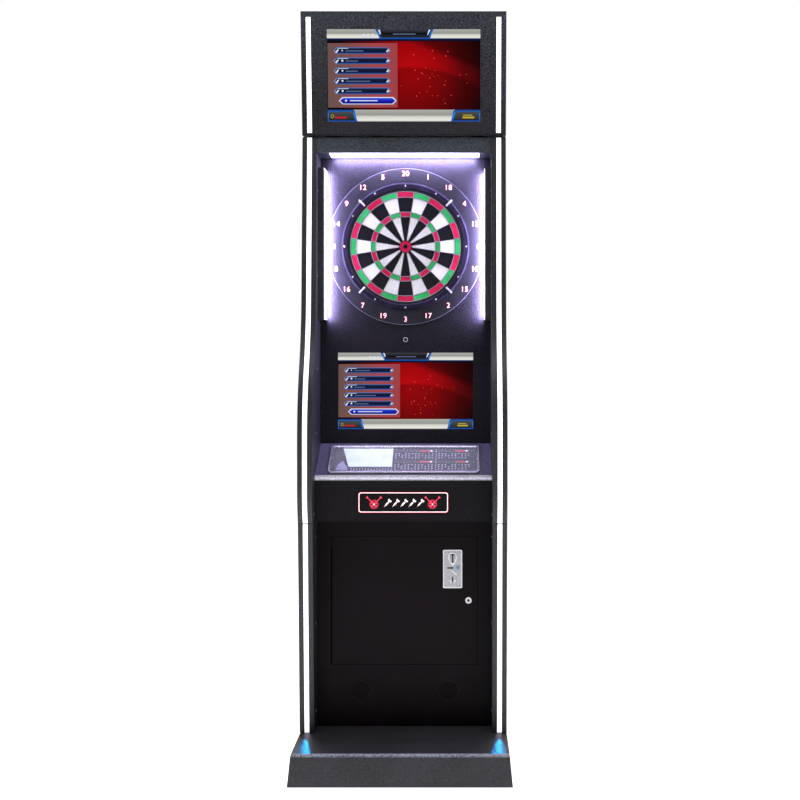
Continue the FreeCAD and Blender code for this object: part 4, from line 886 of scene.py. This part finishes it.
# raised parts of the coin plate, laid out from its middle: shield, lever, slot linings and screws
def coinPlateDetails():
    sizes = {"shield": [(-11, 53), (-5, 56), (5, 56), (11, 53), (15, 44), (14, 33), (8, 20), (0, 12), (-8, 20),
                        (-14, 33), (-15, 44)],
             "shieldMiddle": 36, "screwAt": (24, 55), "head": 3.4, "proud": 1.0, "dot": 2.6, "slotHalf": 2.2,
             "lockRing": (10.6, 7.4), "keyway": 4.4}
    low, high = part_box("coin_faceplate")
    x, z = (low.x + high.x) / 2 / mm, (low.z + high.z) / 2 / mm
    front = low.y + 2 * mm
    mesh = bmesh.new()

    def there(points):
        return scaled([(x + u, z + v) for u, v in points])

    def draw(points, lift, thick, material, bevel=0.0):
        plate(mesh, there(points), front - lift * mm, thick * mm, material, bevel * mm)

    shield, middle = sizes["shield"], sizes["shieldMiddle"]
    inside = [(u * 0.74, middle + (v - middle) * 0.78) for u, v in shield]
    draw(shield, 1.0, 1.0, 2, 0.4)
    rimPlate(mesh, there(shield), there(inside), front - 2.2 * mm, 1.4 * mm, 0, 0.3 * mm)
    draw(slab(-2.6, 21, 2.6, 51), 2.4, 1.0, 1)
    draw(slab(-18, 1, 3, 6), 0.3, 0.6, 1)
    draw([(-10, -2), (-6, 1), (15, -17), (12, -21)], 1.6, 1.6, 0, 0.4)
    rimPlate(mesh, there(roundedRect(-32, -64, 64, 128, 5)), there(roundedRect(-28.8, -60.5, 57.6, 121, 3)),
             front - 0.5 * mm, 0.6 * mm)
    aside, above = sizes["screwAt"]
    for u in (-aside, aside):
        for v in (-above, above):
            spot = Vector(((x + u) * mm, front, (z + v) * mm))
            crossScrew(mesh, spot, sizes["head"] * mm, sizes["proud"] * mm)
            disc(mesh, spot - Vector((0, 1.1 * mm, 0)), 2.2 * mm, 0.3 * mm, 12, material=1)
    finish(mesh, "coin_plate_details", "door", [zincBright, absBlack, zincCast])
    mesh = bmesh.new()
    disc(mesh, faceMiddle(*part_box("coin_reject_button")) - Vector((0, 0.2 * mm, 0)), sizes["dot"] * mm,
         0.5 * mm, 16, 0.15 * mm)
    finish(mesh, "reject_button_dot", "reject_button", absBlack)
    low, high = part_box("coin_return_flap")
    middle, half = (low.x + high.x) / 2, sizes["slotHalf"] * mm
    mesh = bmesh.new()
    block(mesh, (middle - half, low.y - 0.1 * mm, low.z + 8 * mm),
          (middle + half, low.y + 1.4 * mm, high.z - 3 * mm), 0.3 * mm)
    finish(mesh, "return_flap_slot", "return_flap", absBlack)
    mesh = bmesh.new()
    top, foot = high.z / mm, low.z / mm
    guide = [(4, foot + 12), (4.6, top - 15), (11, top - 12), (8.5, foot + 9), (3, foot + 7.5), (3, foot + 10)]
    for way in (-1, 1):
        plate(mesh, scaled([(middle / mm + way * u, v) for u, v in guide]), low.y - 0.4 * mm, 0.6 * mm)
    finish(mesh, "return_flap_guide", "return_flap", zincBright)
    lock = faceMiddle(*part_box("lock_housing"))
    outer, inner = sizes["lockRing"]
    mesh = bmesh.new()
    ringPlate(mesh, lock.x, lock.z, outer * mm, inner * mm, lock.y - 0.3 * mm, 0.6 * mm, 40, 0, 0.15 * mm)
    finish(mesh, "lock_ring", "door", zincBright)
    mesh = bmesh.new()
    lock.y = min(lock.y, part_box("lock_plug")[0].y) - 0.2 * mm
    disc(mesh, lock, sizes["keyway"] * mm, 0.5 * mm, 24, 0.1 * mm)
    finish(mesh, "lock_keyway", "lock", absBlack)


print("deck and coin plate")
scoreCard()
badge()
coinPlateDetails()


# small fixings along the sheets, and the camera's glass
def fixings():
    sizes = {"wallAt": 292, "wallHead": 3.6, "wallProud": 1.3,
             "wallSpots": [(-22, 1613), (-60, 1086), (-120, 822), (-80, 745), (-66, 455), (-62, 163),
                           (-30, 1300), (-20, 1900)],
             "backHead": 4.2, "backProud": 1.6, "backColumns": (-320, -107, 107, 320),
             "backRows": (118, 330, 560, 784, 812, 1100, 1420, 1740, 2060),
             "seamFront": 1.4, "seamSide": 0.9, "seamProud": 0.15, "cameraRing": (8.0, 6.6)}

    def screwAt(mesh, spot, turn, head, proud):
        screw = bmesh.new()
        crossScrew(screw, (0, 0, 0), head * mm, proud * mm)
        absorb(mesh, screw, Matrix.Translation(spot) @ Matrix.Rotation(math.radians(turn), 4, "Z"))

    inner = sizes["wallAt"] * mm
    mesh = bmesh.new()
    for side in (-1, 1):
        for y, z in sizes["wallSpots"]:
            screwAt(mesh, (side * inner, y * mm, z * mm), -90 * side, sizes["wallHead"], sizes["wallProud"])
    finish(mesh, "wall_screws", "cabinet", [zincSheet, absBlack])
    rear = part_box("back_panels")[1].y
    mesh = bmesh.new()
    for x in sizes["backColumns"]:
        for z in sizes["backRows"]:
            screwAt(mesh, (x * mm, rear, z * mm), 180, sizes["backHead"], sizes["backProud"])
    finish(mesh, "back_screws", "cabinet", [zincSheet, absBlack])
    # the dark gasket line where the upper cabinet stands on the lower one
    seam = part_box("upper_sides")[0].z
    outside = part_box("upper_sides")[1].x
    front = min(v.co.y for v in nodes["upper_sides"].data.vertices if v.co.z < seam + 1 * mm)
    proud = outside + sizes["seamProud"] * mm
    mesh = bmesh.new()
    for side in (-1, 1):
        for start, back, part in ((inner, front + 0.6 * mm, "seamFront"),
                                  (outside - 0.4 * mm, rear - 1 * mm, "seamSide")):
            near, far = sorted((side * start, side * proud))
            block(mesh, (near, front - 0.3 * mm, seam - sizes[part] * mm), (far, back, seam + sizes[part] * mm))
    finish(mesh, "cabinet_seam_gasket", "cabinet", absBlack)
    glass = faceMiddle(*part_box("player_camera"))
    outer, inner = sizes["cameraRing"]
    mesh = bmesh.new()
    ringPlate(mesh, glass.x, glass.z, outer * mm, inner * mm, glass.y - 0.25 * mm, 0.4 * mm, 32)
    finish(mesh, "camera_ring", "cabinet", zincBright)


fixings()


# puts a lamp in the scene, unseen itself and aimed at a target
def placeLight(light, place, target, power, code):
    light.energy = power
    light.color = linear(code)[:3]
    holder = bpy.data.objects.new(light.name, light)
    scene.collection.objects.link(holder)
    holder.location = place
    holder.rotation_euler = (Vector(target) - Vector(place)).to_track_quat("-Z", "Y").to_euler()
    holder.visible_camera = False


def areaLight(name, place, target, size, power, code, sizeY=None):
    light = bpy.data.lights.new(name, "AREA")
    light.shape = "RECTANGLE"
    light.size = size
    light.size_y = sizeY or size
    placeLight(light, place, target, power, code)


# the machine's own lamps, as real light on what they face
def machineLamps():
    sizes = {"violet": "#cdc4ff", "thin": 12, "sideAt": (266, 54, 1722), "sideLong": 500, "sideWatts": 6.8,
             "ceilingBack": 52, "ceilingLong": 480, "ceilingDrop": 6, "ceilingWatts": 5.8,
             "footAt": (316, -137, 120), "footAim": (311, -262, 105), "footAngle": 19, "footBlend": 0.45,
             "footSource": 3, "footWatts": 26, "footColour": "#06a4ff"}
    x, y, z = (at * mm for at in sizes["sideAt"])
    for side, name in ((-1, "left"), (1, "right")):
        areaLight(f"{name}LampGlow", (side * x, y, z), (side * (x - 1.0), y + 0.5, z), sizes["thin"] * mm,
                  sizes["sideWatts"], sizes["violet"], sizes["sideLong"] * mm)
        foot = bpy.data.lights.new(f"{name}FootGlow", "SPOT")
        foot.spot_size = math.radians(sizes["footAngle"])
        foot.spot_blend = sizes["footBlend"]
        foot.shadow_soft_size = sizes["footSource"] * mm
        # even along its throw, as the narrow beam of a lensed diode looks on the paint
        foot.use_nodes = True
        beam = foot.node_tree
        even = addNode(beam, "LightFalloff", {"Strength": 1.0})
        beam.links.new(even.outputs["Constant"], beam.nodes["Emission"].inputs["Strength"])
        place, target = ((side * u * mm, v * mm, w * mm) for u, v, w in (sizes["footAt"], sizes["footAim"]))
        placeLight(foot, place, target, sizes["footWatts"], sizes["footColour"])
    y, top = sizes["ceilingBack"] * mm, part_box("lamp_diffusers")[1].z
    areaLight("ceilingLampGlow", (0, y, top - sizes["ceilingDrop"] * mm), (0, y + 0.4, top - 1),
              sizes["ceilingLong"] * mm, sizes["ceilingWatts"], sizes["violet"], sizes["thin"] * mm)


# a white floor and backdrop, and four softboxes
def studio():
    mesh = bmesh.new()
    bmesh.ops.create_grid(mesh, x_segments=2, y_segments=2, size=14)
    material, tree, shader, place = startMaterial("paintedStudioFloor", Roughness=0.6,
                                                  Emission_Color=linear("#ffffff"))
    mottle = noise(tree, place, 500)
    # seen as plain white out to its far edge, but a little dimmer as a source of light
    seen = addNode(tree, "LightPath").outputs["Is Camera Ray"]
    feed(tree, shader, Base_Color=rampBetween(tree, mottle, [(0.3, "#f6f6f7"), (0.7, "#fbfbfb")]),
         Emission_Strength=between(tree, seen, 0.8, 1.02))
    floor = shown(mesh, "floor", material)
    # white behind the machine, dimmer as a source of light, so that dark paint stays dark
    world = bpy.data.worlds.new("studio")
    scene.world = world
    world.use_nodes = True
    tree = world.node_tree
    plain = tree.nodes["Background"]
    plain.inputs["Color"].default_value = linear("#ffffff")
    dim = addNode(tree, "Background", {"Color": linear("#eef0f6"), "Strength": 0.08})
    straight = addNode(tree, "LightPath")
    both = addNode(tree, "MixShader", links={0: straight.outputs["Is Camera Ray"], 1: dim.outputs[0],
                                             2: plain.outputs[0]})
    tree.links.new(both.outputs[0], tree.nodes["World Output"].inputs["Surface"])
    areaLight("overheadSoftbox", (0, -0.7, 4.6), (0, -0.4, 0), 2.4, 150, "#ffffff")
    for name, side, power, code in (("left", -1, 13, "#f4f6ff"), ("right", 1, 10, "#fbf6ff")):
        areaLight(f"{name}Softbox", (3.4 * side, -2.2, 2.6), (0, 0, 1.3), 1.6, power, code, 2.4)
    areaLight("rearSoftbox", (0, 3.6, 3.0), (0, 0, 1.2), 3.0, 70, "#ffffff")


def camera():
    lens = bpy.data.cameras.new("camera")
    lens.lens = 55.1
    lens.sensor_width = 36
    lens.shift_x = -0.071
    lens.shift_y = -0.034
    holder = bpy.data.objects.new("camera", lens)
    holder.location = (0.176, -4.137, 1.287)
    holder.rotation_euler = (math.radians(90), 0, 0)
    scene.collection.objects.link(holder)
    scene.camera = holder


print("studio")
machineLamps()
studio()
camera()
scene.view_settings.view_transform = "Standard"
